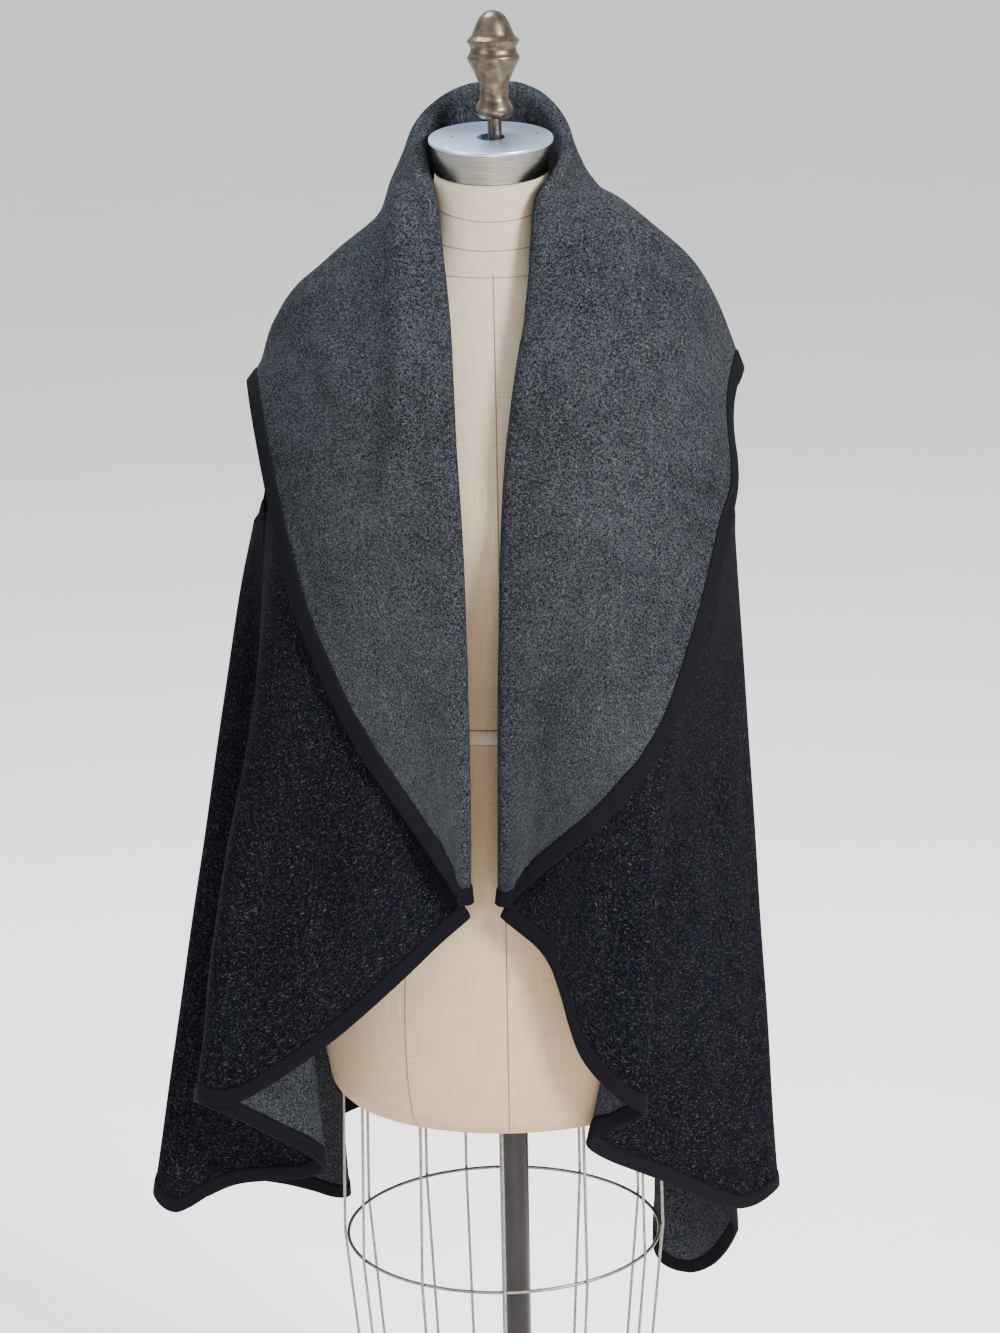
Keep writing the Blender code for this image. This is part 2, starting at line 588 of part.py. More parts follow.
def collar_edge_path(collar, body):
    """Edge and inner points of a front, from the centre back round the collar's tip and along the hem."""
    last = collar.shape[1] - 1
    edge = [collar[k, last] for k in range(len(collar) - 1, -1, -1)]
    inner = [collar[max(k, 1), last - 1] for k in range(len(collar) - 1, -1, -1)]
    for column in range(last - 1, 0, -1):
        edge.append(collar[0, column])
        inner.append(collar[1, column])
    for string in range(body.shape[1]):
        edge.append(body[-1, string])
        inner.append(body[-2, string])
    return np.array(edge), np.array(inner)


def add_cloth(name, grids, flip, collection, look):
    """A panel of cloth through grids of points, half its thickness to each side of them."""
    points, faces = joined(grids, flip)
    item = mesh_object(name, points, triangles(faces, points), collection, look)
    solidify(item, CLOTH, 0.0)
    return item


def material(name, colour, roughness, metallic=0.0):
    """A plain material."""
    made = bpy.data.materials.new(name)
    made.use_nodes = True
    shader = made.node_tree.nodes["Principled BSDF"]
    shader.inputs["Base Color"].default_value = (*colour, 1.0)
    shader.inputs["Roughness"].default_value = roughness
    shader.inputs["Metallic"].default_value = metallic
    return made


def clear_scene():
    """Remove the objects that Blender starts with."""
    for item in list(bpy.data.objects):
        bpy.data.objects.remove(item, do_unlink=True)


def turned(name, profile, segments, collection, look):
    """A turned piece: a profile of (radius, height) rows, run down its outer side, spun round Z."""
    mesh = bpy.data.meshes.new(name)
    shape = bmesh.new()
    corners = [shape.verts.new((radius, 0.0, height)) for radius, height in profile]
    for a, b in zip(corners, corners[1:]):
        shape.edges.new((a, b))
    shape.to_mesh(mesh)
    shape.free()
    mesh.materials.append(look)
    item = bpy.data.objects.new(name, mesh)
    collection.objects.link(item)
    spin = item.modifiers.new("Turn", "SCREW")
    spin.steps = segments
    spin.render_steps = segments
    spin.use_merge_vertices = True
    spin.merge_threshold = MERGE_DISTANCE
    return item


def add_torso(collection, look):
    """The canvas torso and neck: a loft of oval sections whose neck leans and tilts forward."""
    table = np.array(TORSO_SECTIONS)
    points = []
    for z, width, front, back, tilt in table:
        for k in range(TORSO_SECTORS):
            angle = 2 * pi * k / TORSO_SECTORS
            y = sin(angle) * (front if sin(angle) < 0 else back)
            points.append((BODY_X + width * cos(angle), y, z + y * tan(radians(tilt))))
    faces = []
    for i in range(len(table) - 1):
        for k in range(TORSO_SECTORS):
            after = (k + 1) % TORSO_SECTORS
            faces.append((i * TORSO_SECTORS + k, i * TORSO_SECTORS + after,
                          (i + 1) * TORSO_SECTORS + after, (i + 1) * TORSO_SECTORS + k))
    top = (len(table) - 1) * TORSO_SECTORS
    faces.append(tuple(range(TORSO_SECTORS))[::-1])
    faces.append(tuple(range(top, top + TORSO_SECTORS)))
    mesh_object("torso", points, faces, collection, look)


def add_neck_cap(collection, look):
    """The metal cap: a band that widens upwards under a flat plate, with a round hole for the spindle."""
    profile = [(0.0, CAP_HEIGHT - CAP_HOLE_DEPTH), (CAP_HOLE_RADIUS, CAP_HEIGHT - CAP_HOLE_DEPTH),
               (CAP_HOLE_RADIUS, CAP_HEIGHT), (CAP_RADIUS - 0.0012, CAP_HEIGHT),
               (CAP_RADIUS, CAP_HEIGHT - 0.0014), (CAP_RADIUS - 0.0002, CAP_HEIGHT - 0.004),
               (NECK_TOP_RADIUS, 0.0), (0.0, 0.0)]
    item = turned("neck_cap", profile, CAP_SEGMENTS, collection, look)
    item.location = (BODY_X, 0.0, NECK_TOP)
    item.rotation_euler = (CAP_TILT, 0.0, 0.0)


def add_finial(collection, look):
    """The turned finial on its spindle, which ends just above the floor of the cap's hole."""
    floor = NECK_TOP + (CAP_HEIGHT - CAP_HOLE_DEPTH) / cos(CAP_TILT)
    low = floor + SPINDLE_RADIUS * tan(CAP_TILT) + TOUCH_GAP
    profile = [(radius, FINIAL_FOOT + height) for radius, height in FINIAL_PROFILE]
    profile += [(SPINDLE_RADIUS, FINIAL_FOOT), (SPINDLE_RADIUS, low), (0.0, low)]
    turned("finial", profile, FINIAL_SEGMENTS, collection, look)


def add_stand(collection, look):
    """The pole and the round base with its hub."""
    bottom = TORSO_SECTIONS[0][0]
    pole = [(0.0, bottom - TOUCH_GAP), (POLE_RADIUS, bottom - TOUCH_GAP),
            (POLE_RADIUS, HUB_TOP + TOUCH_GAP), (0.0, HUB_TOP + TOUCH_GAP)]
    turned("pole", pole, POLE_SEGMENTS, collection, look)
    base = [(0.0, HUB_TOP), (HUB_RADIUS - 0.012, HUB_TOP), (HUB_RADIUS - 0.008, HUB_TOP - 0.004),
            (HUB_RADIUS, BASE_HEIGHT + 0.016), (HUB_RADIUS + 0.016, BASE_HEIGHT + 0.005),
            (BASE_RADIUS - 0.030, BASE_HEIGHT - 0.003), (BASE_RADIUS - 0.004, BASE_HEIGHT - 0.010),
            (BASE_RADIUS, BASE_HEIGHT - 0.015), (BASE_RADIUS, 0.002), (BASE_RADIUS - 0.002, 0.0), (0.0, 0.0)]
    turned("base", base, BASE_SEGMENTS, collection, look)


def tube(name, path, radius, closed, collection, look):
    """A wire along a path, as a curve with a round bevel."""
    curve = bpy.data.curves.new(name, "CURVE")
    curve.dimensions = "3D"
    spline = curve.splines.new("POLY")
    spline.points.add(len(path) - 1)
    for point, place in zip(spline.points, path):
        point.co = (*place, 1.0)
    spline.use_cyclic_u = closed
    curve.bevel_depth = radius
    curve.bevel_resolution = 1
    curve.use_fill_caps = not closed
    curve.materials.append(look)
    collection.objects.link(bpy.data.objects.new(name, curve))


def cage_point(level, angle, extra):
    """A point on one of the cage's oval levels."""
    height, width, depth = level
    x = CAGE_CENTRE_X + (width + extra) * cos(angle)
    return (x, CAGE_CENTRE_Y + (depth + extra) * sin(angle), height)


def add_cage(collection, look):
    """Two hoops inside a ring of wires that hang from the torso's rim."""
    side_step = WIRE_RADIUS + HOOP_RADIUS + TOUCH_GAP
    for name, level in (("cage_hoop", CAGE_HOOP), ("cage_foot_hoop", CAGE_FOOT)):
        ring = [cage_point(level, 2 * pi * k / HOOP_POINTS, 0.0) for k in range(HOOP_POINTS)]
        tube(name, ring, HOOP_RADIUS, True, collection, look)
    below = CAGE_FOOT[0] - HOOP_RADIUS
    for number, degrees in enumerate(WIRE_ANGLES, 1):
        angle = radians(degrees)
        top = cage_point(CAGE_TOP, angle, 0.0)
        middle = cage_point(CAGE_HOOP, angle, side_step)
        foot = cage_point(CAGE_FOOT, angle, side_step)
        end = (foot[0], foot[1], below)
        tube("cage_wire_%02d" % number, [top, middle, foot, end], WIRE_RADIUS, False, collection, look)


def half_grids(tables, side):
    """The grids of one side of the vest: its collar, front body and back body."""
    collar_table, front, back = tables
    count = len(front)
    rows = [1 - station for station in reversed(COLLAR_STATIONS_FRONT)]
    front_strings = np.append(strings(0, count), count + SIDE_SEAM)
    back_strings = np.append([count + SIDE_SEAM], strings(count + 1, count + len(back)))
    collar = collar_grid(collar_table, COLLAR_STATIONS_FRONT + COLLAR_STATIONS_BACK, side)
    body = body_grid(collar_table, front, back, side, front_strings, rows)
    rear = body_grid(collar_table, front, back, side, back_strings, rows)
    body[:, 0] = collar[:len(rows), 0][::-1]
    body = keep_clear(body, rest_on_form)
    rear = keep_clear(rear, rest_on_form)
    part_shoulder(body, front + back, front_strings, -1)
    part_shoulder(rear, front + back, back_strings, 1)
    collar[:len(rows), 0] = body[::-1, 0]
    split_seam(body, rear)
    collar = keep_clear(collar, lift_rule((body[:, 1:], rear)), len(ROLL_COLUMNS) - 1, TIP_ROWS)
    return collar, body, rear


def add_vest(collection, wool, edging):
    """Two fronts with grown-on shawl collars, one back, and a binding round the edges of each."""
    halves = (half_grids((COLLAR_RIGHT, FRONT_RIGHT, BACK_RIGHT), -1),
              half_grids((COLLAR_LEFT, FRONT_LEFT, BACK_LEFT + BACK_RIGHT[-1:]), 1))
    for (collar, body, _), name, flip in zip(halves, ("right", "left"), (False, True)):
        item = add_cloth("front_" + name, (collar, body), flip, collection, wool)
        edge, inner = collar_edge_path(collar, body)
        wrap = binding_rows(item, edge, inner)
        add_binding("binding_front_" + name, wrap, collection, edging, ((-1, -2),))
    back = np.concatenate([halves[0][2], halves[1][2][:, ::-1][:, 1:]], axis=1)
    item = add_cloth("back", (back,), False, collection, wool)
    wrap = binding_rows(item, back[-1], back[-2])
    add_binding("binding_back", wrap, collection, edging, ((0, 1), (-1, -2)))


def main():
    clear_scene()
    collection = bpy.data.collections.new("shawl collar vest on dress form")
    bpy.context.scene.collection.children.link(collection)
    dark = material("dark steel", (0.02, 0.02, 0.02), 0.5, 0.6)
    add_torso(collection, material("canvas", (0.55, 0.50, 0.41), 0.9))
    add_neck_cap(collection, material("brushed steel", (0.50, 0.52, 0.55), 0.35, 1.0))
    add_finial(collection, material("aged brass", (0.17, 0.12, 0.07), 0.45, 1.0))
    add_stand(collection, dark)
    add_cage(collection, material("wire", (0.20, 0.19, 0.18), 0.45, 1.0))
    wool = material("wool", (0.014, 0.016, 0.022), 0.95)
    add_vest(collection, wool, material("binding", (0.006, 0.007, 0.010), 0.7))


main()
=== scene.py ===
"""Looks for the shawl collar vest on its dress form: fine cloth shells with bound edges, the canvas form,
its metal parts, a pale floor, studio light and the camera at the photo's angle. Metres, +Z up."""
import bmesh
import bpy
import numpy as np
from functools import partialmethod
from math import cos, pi, radians, sin, tan
from mathutils import Matrix, Vector
from mathutils.bvhtree import BVHTree
from numpy.linalg import norm


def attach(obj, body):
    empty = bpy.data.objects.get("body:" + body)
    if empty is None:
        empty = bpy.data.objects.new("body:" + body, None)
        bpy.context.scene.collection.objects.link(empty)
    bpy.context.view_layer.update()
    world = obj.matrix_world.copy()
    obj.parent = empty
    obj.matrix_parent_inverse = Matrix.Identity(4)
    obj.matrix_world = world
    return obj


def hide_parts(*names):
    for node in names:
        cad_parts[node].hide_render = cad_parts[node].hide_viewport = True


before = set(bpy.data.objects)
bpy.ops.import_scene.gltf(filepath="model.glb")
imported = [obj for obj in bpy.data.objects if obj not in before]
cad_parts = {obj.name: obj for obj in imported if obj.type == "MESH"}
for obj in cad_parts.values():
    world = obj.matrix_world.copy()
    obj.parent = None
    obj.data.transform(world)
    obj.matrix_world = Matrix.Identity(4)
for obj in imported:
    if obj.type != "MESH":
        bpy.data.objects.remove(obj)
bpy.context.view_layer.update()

# Camera at the photo's viewing angle
EYE = (-0.0042, -2.5055, 1.851)
PITCH = radians(17.0)
ROLL = radians(1.1)
LENS = 80.05
SENSOR = 36.0

# The tables' unit, in metres
MM = 0.001

# Cloth, metres
CLOTH = 0.0024
SEAM_GAP = 0.0004
SHOULDER_GAP = 0.001
BINDING_WIDTH = 0.013
BINDING_CLOTH = 0.0008
BINDING_GAP = 0.0005
BINDING_EDGE_GAP = 0.001
ROLL_RADIUS = 0.008
FORM_CLEARANCE = 0.0018
COLLAR_CLEARANCE = 0.0048
LAYER_STEP = 0.0056

# Dress form, metres; the canvas body and its cap stand a little to the wearer's right of the pole
BODY_X = -0.0035
CAP_TILT = radians(8)
NECK_TOP = 1.522
NECK_TOP_RADIUS = 0.048
CAP_RADIUS = 0.0525
CAP_HEIGHT = 0.028
CAP_HOLE_RADIUS = 0.0118
CAP_HOLE_DEPTH = 0.006
SPINDLE_RADIUS = 0.006
FINIAL_FOOT = 1.565
POLE_RADIUS = 0.0135
BASE_RADIUS = 0.215
BASE_HEIGHT = 0.022
HUB_RADIUS = 0.034
HUB_TOP = 0.085
WIRE_RADIUS = 0.0014
HOOP_RADIUS = 0.0016
TOUCH_GAP = 0.0003

# Torso: height, half width, depth in front, depth behind, forward tilt in degrees
TORSO_SECTIONS = [
    (0.684, 0.151, 0.108, 0.122, 0), (0.691, 0.158, 0.113, 0.127, 0), (0.715, 0.165, 0.118, 0.133, 0),
    (0.76, 0.17, 0.121, 0.138, 0), (0.81, 0.169, 0.119, 0.139, 0), (0.88, 0.16, 0.111, 0.128, 0),
    (0.96, 0.138, 0.1, 0.106, 0), (1.049, 0.122, 0.092, 0.088, 0), (1.12, 0.129, 0.099, 0.094, 0),
    (1.19, 0.143, 0.114, 0.106, 0), (1.245, 0.152, 0.123, 0.114, 0), (1.3, 0.158, 0.113, 0.118, 0),
    (1.345, 0.168, 0.098, 0.114, 0), (1.375, 0.176, 0.084, 0.104, 0), (1.395, 0.17, 0.074, 0.094, 0),
    (1.412, 0.144, 0.068, 0.084, 0), (1.43, 0.105, 0.063, 0.073, 0), (1.446, 0.078, 0.058, 0.064, 1),
    (1.462, 0.063, 0.055, 0.057, 3), (1.485, 0.054, 0.051, 0.051, 6), (1.521, 0.0475, 0.0475, 0.0475, 8),
]

# What the cloth keeps clear of above the canvas: the cap, as heights with a radius
CAP_SECTIONS = [(1.533, 0.052, 0.052, 0.052), (1.55, 0.054, 0.054, 0.054), (1.6, 0.054, 0.054, 0.054)]

# Finial in millimetres: radius, height above its foot
FINIAL_PROFILE = [
    (0, 88.5), (6, 87.2), (10.5, 83.5), (13.7, 78), (16.2, 72), (17.8, 68), (20.5, 65.5), (22.4, 63.5),
    (19, 58.2), (19.8, 53.5), (22.3, 50.5), (21.6, 47.5), (19, 42.8), (15.5, 35.8), (13, 30.3), (12, 26),
    (11.9, 20.5), (12.1, 15.5), (14, 12), (16, 8), (15.8, 4.5), (13.5, 1.5), (11.5, 0),
]

# Cage: height, half width, half depth; the torso's rim, the hoop that shows and the lower hoop
CAGE_TOP = (0.6837, 0.146, 0.104)
CAGE_HOOP = (0.532, 0.146, 0.125)
CAGE_FOOT = (0.3, 0.126, 0.11)
CAGE_CENTRE_X = -0.0105
CAGE_CENTRE_Y = 0.006
WIRE_ANGLES = [270, 240, 210, 180, 150, 120, 104, 60, 30, 0, 330, 300]

# Collar and roll, a row for each station from the front tip (0) by the neck point (1) to the centre back.
# Columns: station, then places in millimetres: seam, roll edge, fall, bend, free edge
COLLAR_RIGHT = [
    (0, (44, -128, 894), (33.5, -137, 917), (44, -147, 928), (48, -149, 934), (52, -150, 940)),
    (0.15, (62, -128, 955), (33, -137, 975), (55, -148, 988), (73, -151, 998), (89, -150, 1004)),
    (0.3, (63, -128, 1025), (32.5, -137, 1035), (65, -147, 1048), (94, -148, 1056), (121, -143, 1058)),
    (0.45, (64, -128, 1095), (32, -137, 1100), (70, -147, 1110), (112, -146, 1117), (150, -134, 1117)),
    (0.6, (65, -127, 1170), (33, -137, 1175), (78, -146, 1180), (130, -139, 1184), (175, -115, 1180)),
    (0.72, (67, -123, 1250), (35, -134, 1255), (82, -142, 1258), (142, -124, 1256), (192, -88, 1246)),
    (0.82, (69, -106, 1335), (38, -120, 1338), (85, -126, 1340), (150, -94, 1332), (205, -50, 1305)),
    (0.91, (70, -64, 1412), (41, -82, 1418), (85, -88, 1420), (156, -52, 1393), (213, -12, 1342)),
    (1, (66, -6, 1466), (50, -45, 1492), (89, -45, 1476), (166, -10, 1420), (215, 25, 1340)),
    (1.15, (63, 36, 1466), (60, -12, 1525), (95, 2, 1487), (162, 35, 1420), (210, 70, 1315)),
    (1.3, (45, 58, 1462), (64, 28, 1554), (87, 50, 1490), (132, 90, 1405), (165, 130, 1290)),
    (1.45, (20, 68, 1459), (36, 64, 1579), (50, 92, 1500), (72, 128, 1395), (85, 160, 1278)),
    (1.6, (0.4, 71, 1458), (0.4, 74, 1586), (0.4, 104, 1505), (0.4, 140, 1392), (0.4, 170, 1272)),
]
COLLAR_LEFT = [
    (0, (2.5, -128, 894), (-8.5, -137, 915), (3, -147, 925), (8, -148, 929), (13, -149, 933)),
    (0.15, (21, -128, 950), (-7.5, -137, 968), (15, -146, 975), (36, -147, 977), (58, -146, 976)),
    (0.3, (24, -128, 1020), (-6.5, -137, 1030), (30, -147, 1038), (64, -148, 1034), (98, -145, 1014)),
    (0.45, (26, -128, 1092), (-5, -137, 1100), (38, -147, 1106), (86, -147, 1100), (134, -135, 1064)),
    (0.6, (29, -127, 1168), (-2.5, -137, 1175), (45, -147, 1178), (108, -141, 1166), (160, -116, 1130)),
    (0.72, (34, -123, 1250), (0.5, -135, 1255), (52, -143, 1255), (124, -128, 1240), (184, -88, 1205)),
    (0.82, (44, -106, 1335), (9, -122, 1338), (62, -127, 1338), (138, -98, 1318), (198, -50, 1262)),
    (0.91, (54, -66, 1412), (24, -84, 1420), (72, -88, 1422), (150, -54, 1390), (195, -25, 1305)),
    (1, (61, -6, 1466), (31, -58, 1486), (84, -45, 1486), (165, -8, 1431), (206, 15, 1345)),
    (1.15, (59, 36, 1466), (42, -34, 1517), (93, 2, 1500), (167, 30, 1425), (208, 65, 1318)),
    (1.3, (41, 58, 1462), (57, 22, 1550), (86, 48, 1496), (136, 88, 1405), (168, 130, 1292)),
    (1.45, (20, 68, 1459), (36, 64, 1579), (50, 92, 1500), (72, 128, 1395), (86, 160, 1278)),
    COLLAR_RIGHT[-1],
]

# Body folds, a row for each line that runs from the top edge to the hem, from the front edge round the side:
# each front from the breast to the crest at the side, each back from the side's turn to the centre.
# Columns: places in millimetres at the top edge, at the chest (CHEST_SHARE of the way down) and at the hem
CHEST_SHARE = 0.4
FRONT_RIGHT = [
    ((90, -0.8, 1449), (95, -126, 1190), (105, -140, 838)),
    ((118, -0.8, 1436), (138, -118, 1195), (165, -142, 786)),
    ((146, -0.8, 1424), (176, -106, 1195), (238, -138, 736)),
    ((172, -0.8, 1409), (195, -88, 1190), (278, -118, 727)),
    ((190, -28, 1304), (206, -54, 1165), (230, -78, 680)),
    ((204, -34, 1250), (204, -30, 1130), (174, -30, 613)),
    ((211, -20, 1226), (217, -12, 1120), (262, 2, 585)),
    ((214, -8, 1220), (230, -5, 1115), (318, 6, 556)),
    ((215, 6, 1220), (238, 8, 1115), (337, 26, 572)),
]
BACK_RIGHT = [
    ((208, 30, 1228), (226, 34, 1120), (290, 72, 560)),
    ((197, 46, 1252), (203, 66, 1130), (222, 140, 514)),
    ((187, 46, 1288), (187, 90, 1150), (166, 180, 480)),
    ((181, 34, 1335), (178, 112, 1180), (190, 226, 520)),
    ((172, 0.8, 1409), (155, 129, 1195), (165, 240, 545)),
    ((122, 0.8, 1434), (105, 131, 1195), (100, 214, 572)),
    ((70, 0.8, 1457), (52, 129, 1195), (50, 168, 572)),
    ((45, 64, 1452), (26, 129, 1195), (24, 190, 566)),
    ((0, 78, 1448), (0, 129, 1195), (0, 206, 562)),
]
FRONT_LEFT = [
    ((88, -0.8, 1450), (62, -127, 1190), (34, -142, 861)),
    ((110, -0.8, 1440), (92, -125, 1190), (58, -147, 780)),
    ((132, -0.8, 1430), (118, -121, 1190), (92, -152, 738)),
    ((153, -0.8, 1420), (140, -114, 1190), (114, -143, 718)),
    ((172, -0.8, 1409), (158, -106, 1180), (94, -127, 700)),
    ((189, -30, 1300), (172, -90, 1150), (67, -114, 672)),
    ((196, -36, 1250), (184, -62, 1130), (135, -66, 615)),
    ((200, -18, 1224), (198, -28, 1120), (208, -12, 558)),
    ((201, 6, 1218), (208, 6, 1118), (247, 24, 562)),
]
BACK_LEFT = [
    ((197, 30, 1226), (205, 40, 1120), (226, 74, 540)),
    ((191, 46, 1250), (194, 64, 1130), (204, 106, 498)),
    ((186, 46, 1288), (187, 84, 1145), (218, 132, 460)),
    ((181, 34, 1335), (178, 104, 1165), (202, 160, 410)),
    ((172, 0.8, 1409), (166, 118, 1185), (172, 180, 388)),
    ((150, 0.8, 1421), (150, 127, 1195), (142, 196, 404)),
    ((126, 0.8, 1433), (126, 131, 1195), (144, 232, 480)),
    ((98, 0.8, 1446), (90, 131, 1195), (94, 216, 545)),
    ((70, 0.8, 1457), (52, 129, 1195), (50, 172, 566)),
    BACK_RIGHT[-2],
]

# Fineness of the cloth's grid
COLLAR_STATIONS_FRONT = [0.0, 0.04, 0.1, 0.19, 0.29, 0.39, 0.49, 0.58,
                         0.66, 0.73, 0.79, 0.85, 0.9, 0.94, 0.97, 1.0]
COLLAR_STATIONS_BACK = [1.08, 1.17, 1.26, 1.35, 1.43, 1.51, 1.6]
COLLAR_KNOTS = [0, 1, 1.25, 1.5, 1.75, 2, 3, 4, 5]
ROLL_ANGLES = [-90, -45, 0, 45, 90]
ROLL_COLUMNS = [0.0, 0.55, 1.0, 1.25, 1.5, 1.75, 2.0]
FALL_COLUMNS = 5
TIP_ROWS = 2
STRINGS_PER_FOLD = 3
SIDE_SEAM = 0.5
STRING_SAMPLES = 60

# Rules of the cloth's shape: lengths in metres, and shares of a length
STRAIGHT_BELOW = 0.09
SHORT_BINDING_SHARE = 0.45
CORNER_SHARE = 0.3
LEAST_SLANT = 0.6
STATION_STEP = 0.02
PROBE_STEP = 0.0002
CLEAR_ROUNDS = 4
PUSH_ROUNDS = 12
PUSH_SHARE = 0.8
PUSH_MOST = 0.02


def hermite(knots, rows, x):
    """A smooth curve through rows of numbers at the knots, read at each x."""
    knots = np.asarray(knots, float)
    rows = np.asarray(rows, float)
    x = np.atleast_1d(np.asarray(x, float))
    step = np.diff(knots)
    slope = np.diff(rows, axis=0) / step.reshape((-1,) + (1,) * (rows.ndim - 1))
    tangent = np.empty_like(rows)
    tangent[0] = slope[0]
    tangent[-1] = slope[-1]
    weight = (step[1:] / (step[1:] + step[:-1])).reshape((-1,) + (1,) * (rows.ndim - 1))
    tangent[1:-1] = slope[:-1] * weight + slope[1:] * (1 - weight)
    index = np.clip(np.searchsorted(knots, x, side="right") - 1, 0, len(knots) - 2)
    shape = (-1,) + (1,) * (rows.ndim - 1)
    width = step[index].reshape(shape)
    u = ((x - knots[index]) / step[index]).reshape(shape)
    return ((2 * u**3 - 3 * u**2 + 1) * rows[index] + (u**3 - 2 * u**2 + u) * width * tangent[index]
            + (3 * u**2 - 2 * u**3) * rows[index + 1] + (u**3 - u**2) * width * tangent[index + 1])


def unit(vectors):
    """The vectors at length one."""
    return vectors / np.maximum(norm(vectors, axis=-1, keepdims=True), 1e-12)


def smooth(x):
    """A share from 0 to 1 that starts and ends gently."""
    x = np.clip(x, 0.0, 1.0)
    return x * x * (3 - 2 * x)


def torso_size(z):
    """Half width, front depth and back depth of the torso at each height."""
    table = np.array([row[:4] for row in TORSO_SECTIONS] + CAP_SECTIONS)
    z = np.clip(z, table[0, 0], table[-1, 0])
    return hermite(table[:, 0], table[:, 1:4], z)


def torso_level(points):
    """How far each point stands outside the torso, as a share of the section's size."""
    size = torso_size(points[:, 2])
    depth = np.where(points[:, 1] < 0, size[:, 1], size[:, 2])
    return np.sqrt(((points[:, 0] - BODY_X) / size[:, 0])**2 + (points[:, 1] / depth)**2) - 1


def push_out(points, clearance):
    """Move points that are closer to the torso than the clearance out to that distance."""
    shape = points.shape
    points = points.reshape(-1, 3).copy()
    probes = np.eye(3) * PROBE_STEP
    for _ in range(PUSH_ROUNDS):
        changes = [torso_level(points + probe) - torso_level(points - probe) for probe in probes]
        gradient = np.stack(changes, -1) / (2 * PROBE_STEP)
        length = np.maximum(norm(gradient, axis=1), 1e-6)
        lack = np.clip(clearance - torso_level(points) / length, 0, PUSH_MOST)
        lack[points[:, 2] < TORSO_SECTIONS[0][0]] = 0
        points += gradient / length[:, None] * (PUSH_SHARE * lack)[:, None]
    return points.reshape(shape)


def collar_string(table, station):
    """One line across the collar, from its seam over the roll to its free edge, as five smooth stretches."""
    stations = [row[0] for row in table]
    stations.append(2 * stations[-1] - stations[-2])
    columns = np.array([row[1:] for row in table]) * MM
    columns = np.append(columns, columns[-2:-1] * np.array([-1, 1, 1]), axis=0)
    rows = hermite(stations, columns, station)[0]
    ahead = hermite(stations, columns, station + STATION_STEP)[0]
    behind = hermite(stations, columns, max(station - STATION_STEP, 0.0))[0]
    seam, roll, fall, bend, edge = rows
    along = unit(ahead[1] - behind[1])
    inward = (seam + fall) / 2 - roll
    inward = unit(inward - along * (inward @ along))
    outward = fall - seam
    outward -= along * (outward @ along)
    outward = unit(outward - inward * (outward @ inward))
    turns = np.radians(ROLL_ANGLES)[:, None]
    arc = roll + ROLL_RADIUS * ((1 - np.cos(turns)) * inward + np.sin(turns) * outward)
    return np.array([seam, *arc, fall, bend, edge])


def distances(path):
    """The distance along a path at each of its points, or along a grid at each of its rows."""
    steps = norm(np.diff(path, axis=0), axis=-1).reshape(len(path) - 1, -1).mean(axis=1)
    return np.concatenate([[0], np.cumsum(steps)])


def resample(path, places):
    """Points at the given distances along a path of closely spaced points."""
    lengths = distances(path)
    places = np.where(places < 0, lengths[-1] + places, places)
    return np.stack([np.interp(places, lengths, path[:, axis]) for axis in range(3)], -1)


def keep_clear(grid, rule, first_column=0, first_row=0):
    """Move a grid's points by a rule until its points, edges and cells all satisfy it."""
    grid = grid.copy()
    for _ in range(CLEAR_ROUNDS):
        move = np.zeros_like(grid)
        for down, over in ((0, 0), (1, 0), (0, 1), (1, 1)):
            rows, columns = grid.shape[0] - down, grid.shape[1] - over
            corners = [(a, b) for a in range(down + 1) for b in range(over + 1)]
            middle = sum(grid[a:a + rows, b:b + columns] for a, b in corners) / len(corners)
            shift = rule(middle) - middle
            size = norm(shift, axis=-1)
            for a, b in corners:
                view = move[a:a + rows, b:b + columns]
                larger = size > norm(view, axis=-1)
                view[larger] = shift[larger]
        move[:, :first_column] = 0
        move[:first_row] = 0
        grid += move
    return grid


def even_binding(grid):
    """Set the collar's last inner column at the binding's width square to the free edge."""
    edge = grid[:, -1]
    along = unit(np.gradient(edge, axis=0))
    inward = grid[:, -2] - edge
    inward = unit(inward - along * np.sum(inward * along, axis=-1, keepdims=True))
    shift = edge + inward * BINDING_WIDTH - grid[:, -2]
    shift[0] = 0
    shift[-1, 0] = 0
    for column in range(1, FALL_COLUMNS + 1):
        grid[:, len(ROLL_COLUMNS) - 1 + column] += shift * column / FALL_COLUMNS
    return grid


def collar_grid(table, stations, side):
    """Points of the collar: a row for each station, a column for each place across."""
    grid = []
    for station in stations:
        rows = collar_string(table, station)
        start = hermite(COLLAR_KNOTS, rows, ROLL_COLUMNS)
        fall = hermite(COLLAR_KNOTS, rows, np.linspace(ROLL_COLUMNS[-1], COLLAR_KNOTS[-1], STRING_SAMPLES))
        straight = np.linspace(rows[5], rows[-1], STRING_SAMPLES)
        bulge = smooth(norm(rows[-1] - rows[5]) / STRAIGHT_BELOW)
        fall = straight * (1 - bulge) + fall * bulge
        length = distances(fall)[-1]
        width = min(BINDING_WIDTH, SHORT_BINDING_SHARE * length)
        places = np.append(np.linspace(0, length - width, FALL_COLUMNS + 1)[1:], length)
        grid.append(np.concatenate([start, resample(fall, places)]))
    grid = even_binding(np.array(grid))
    grid[:, :, 0] *= side
    grid = keep_clear(grid, lie_on_shoulder, len(ROLL_COLUMNS) - 2)
    grid[:, :len(ROLL_COLUMNS)] = keep_clear(grid[:, :len(ROLL_COLUMNS)], rest_on_form)
    return grid


def rest_on_form(points):
    """Move points out until cloth there just clears the canvas."""
    return push_out(points, FORM_CLEARANCE + CLOTH / 2)


def lie_on_shoulder(points):
    """Move points out until cloth there clears the panels that lie on the canvas."""
    return push_out(points, COLLAR_CLEARANCE + CLOTH)


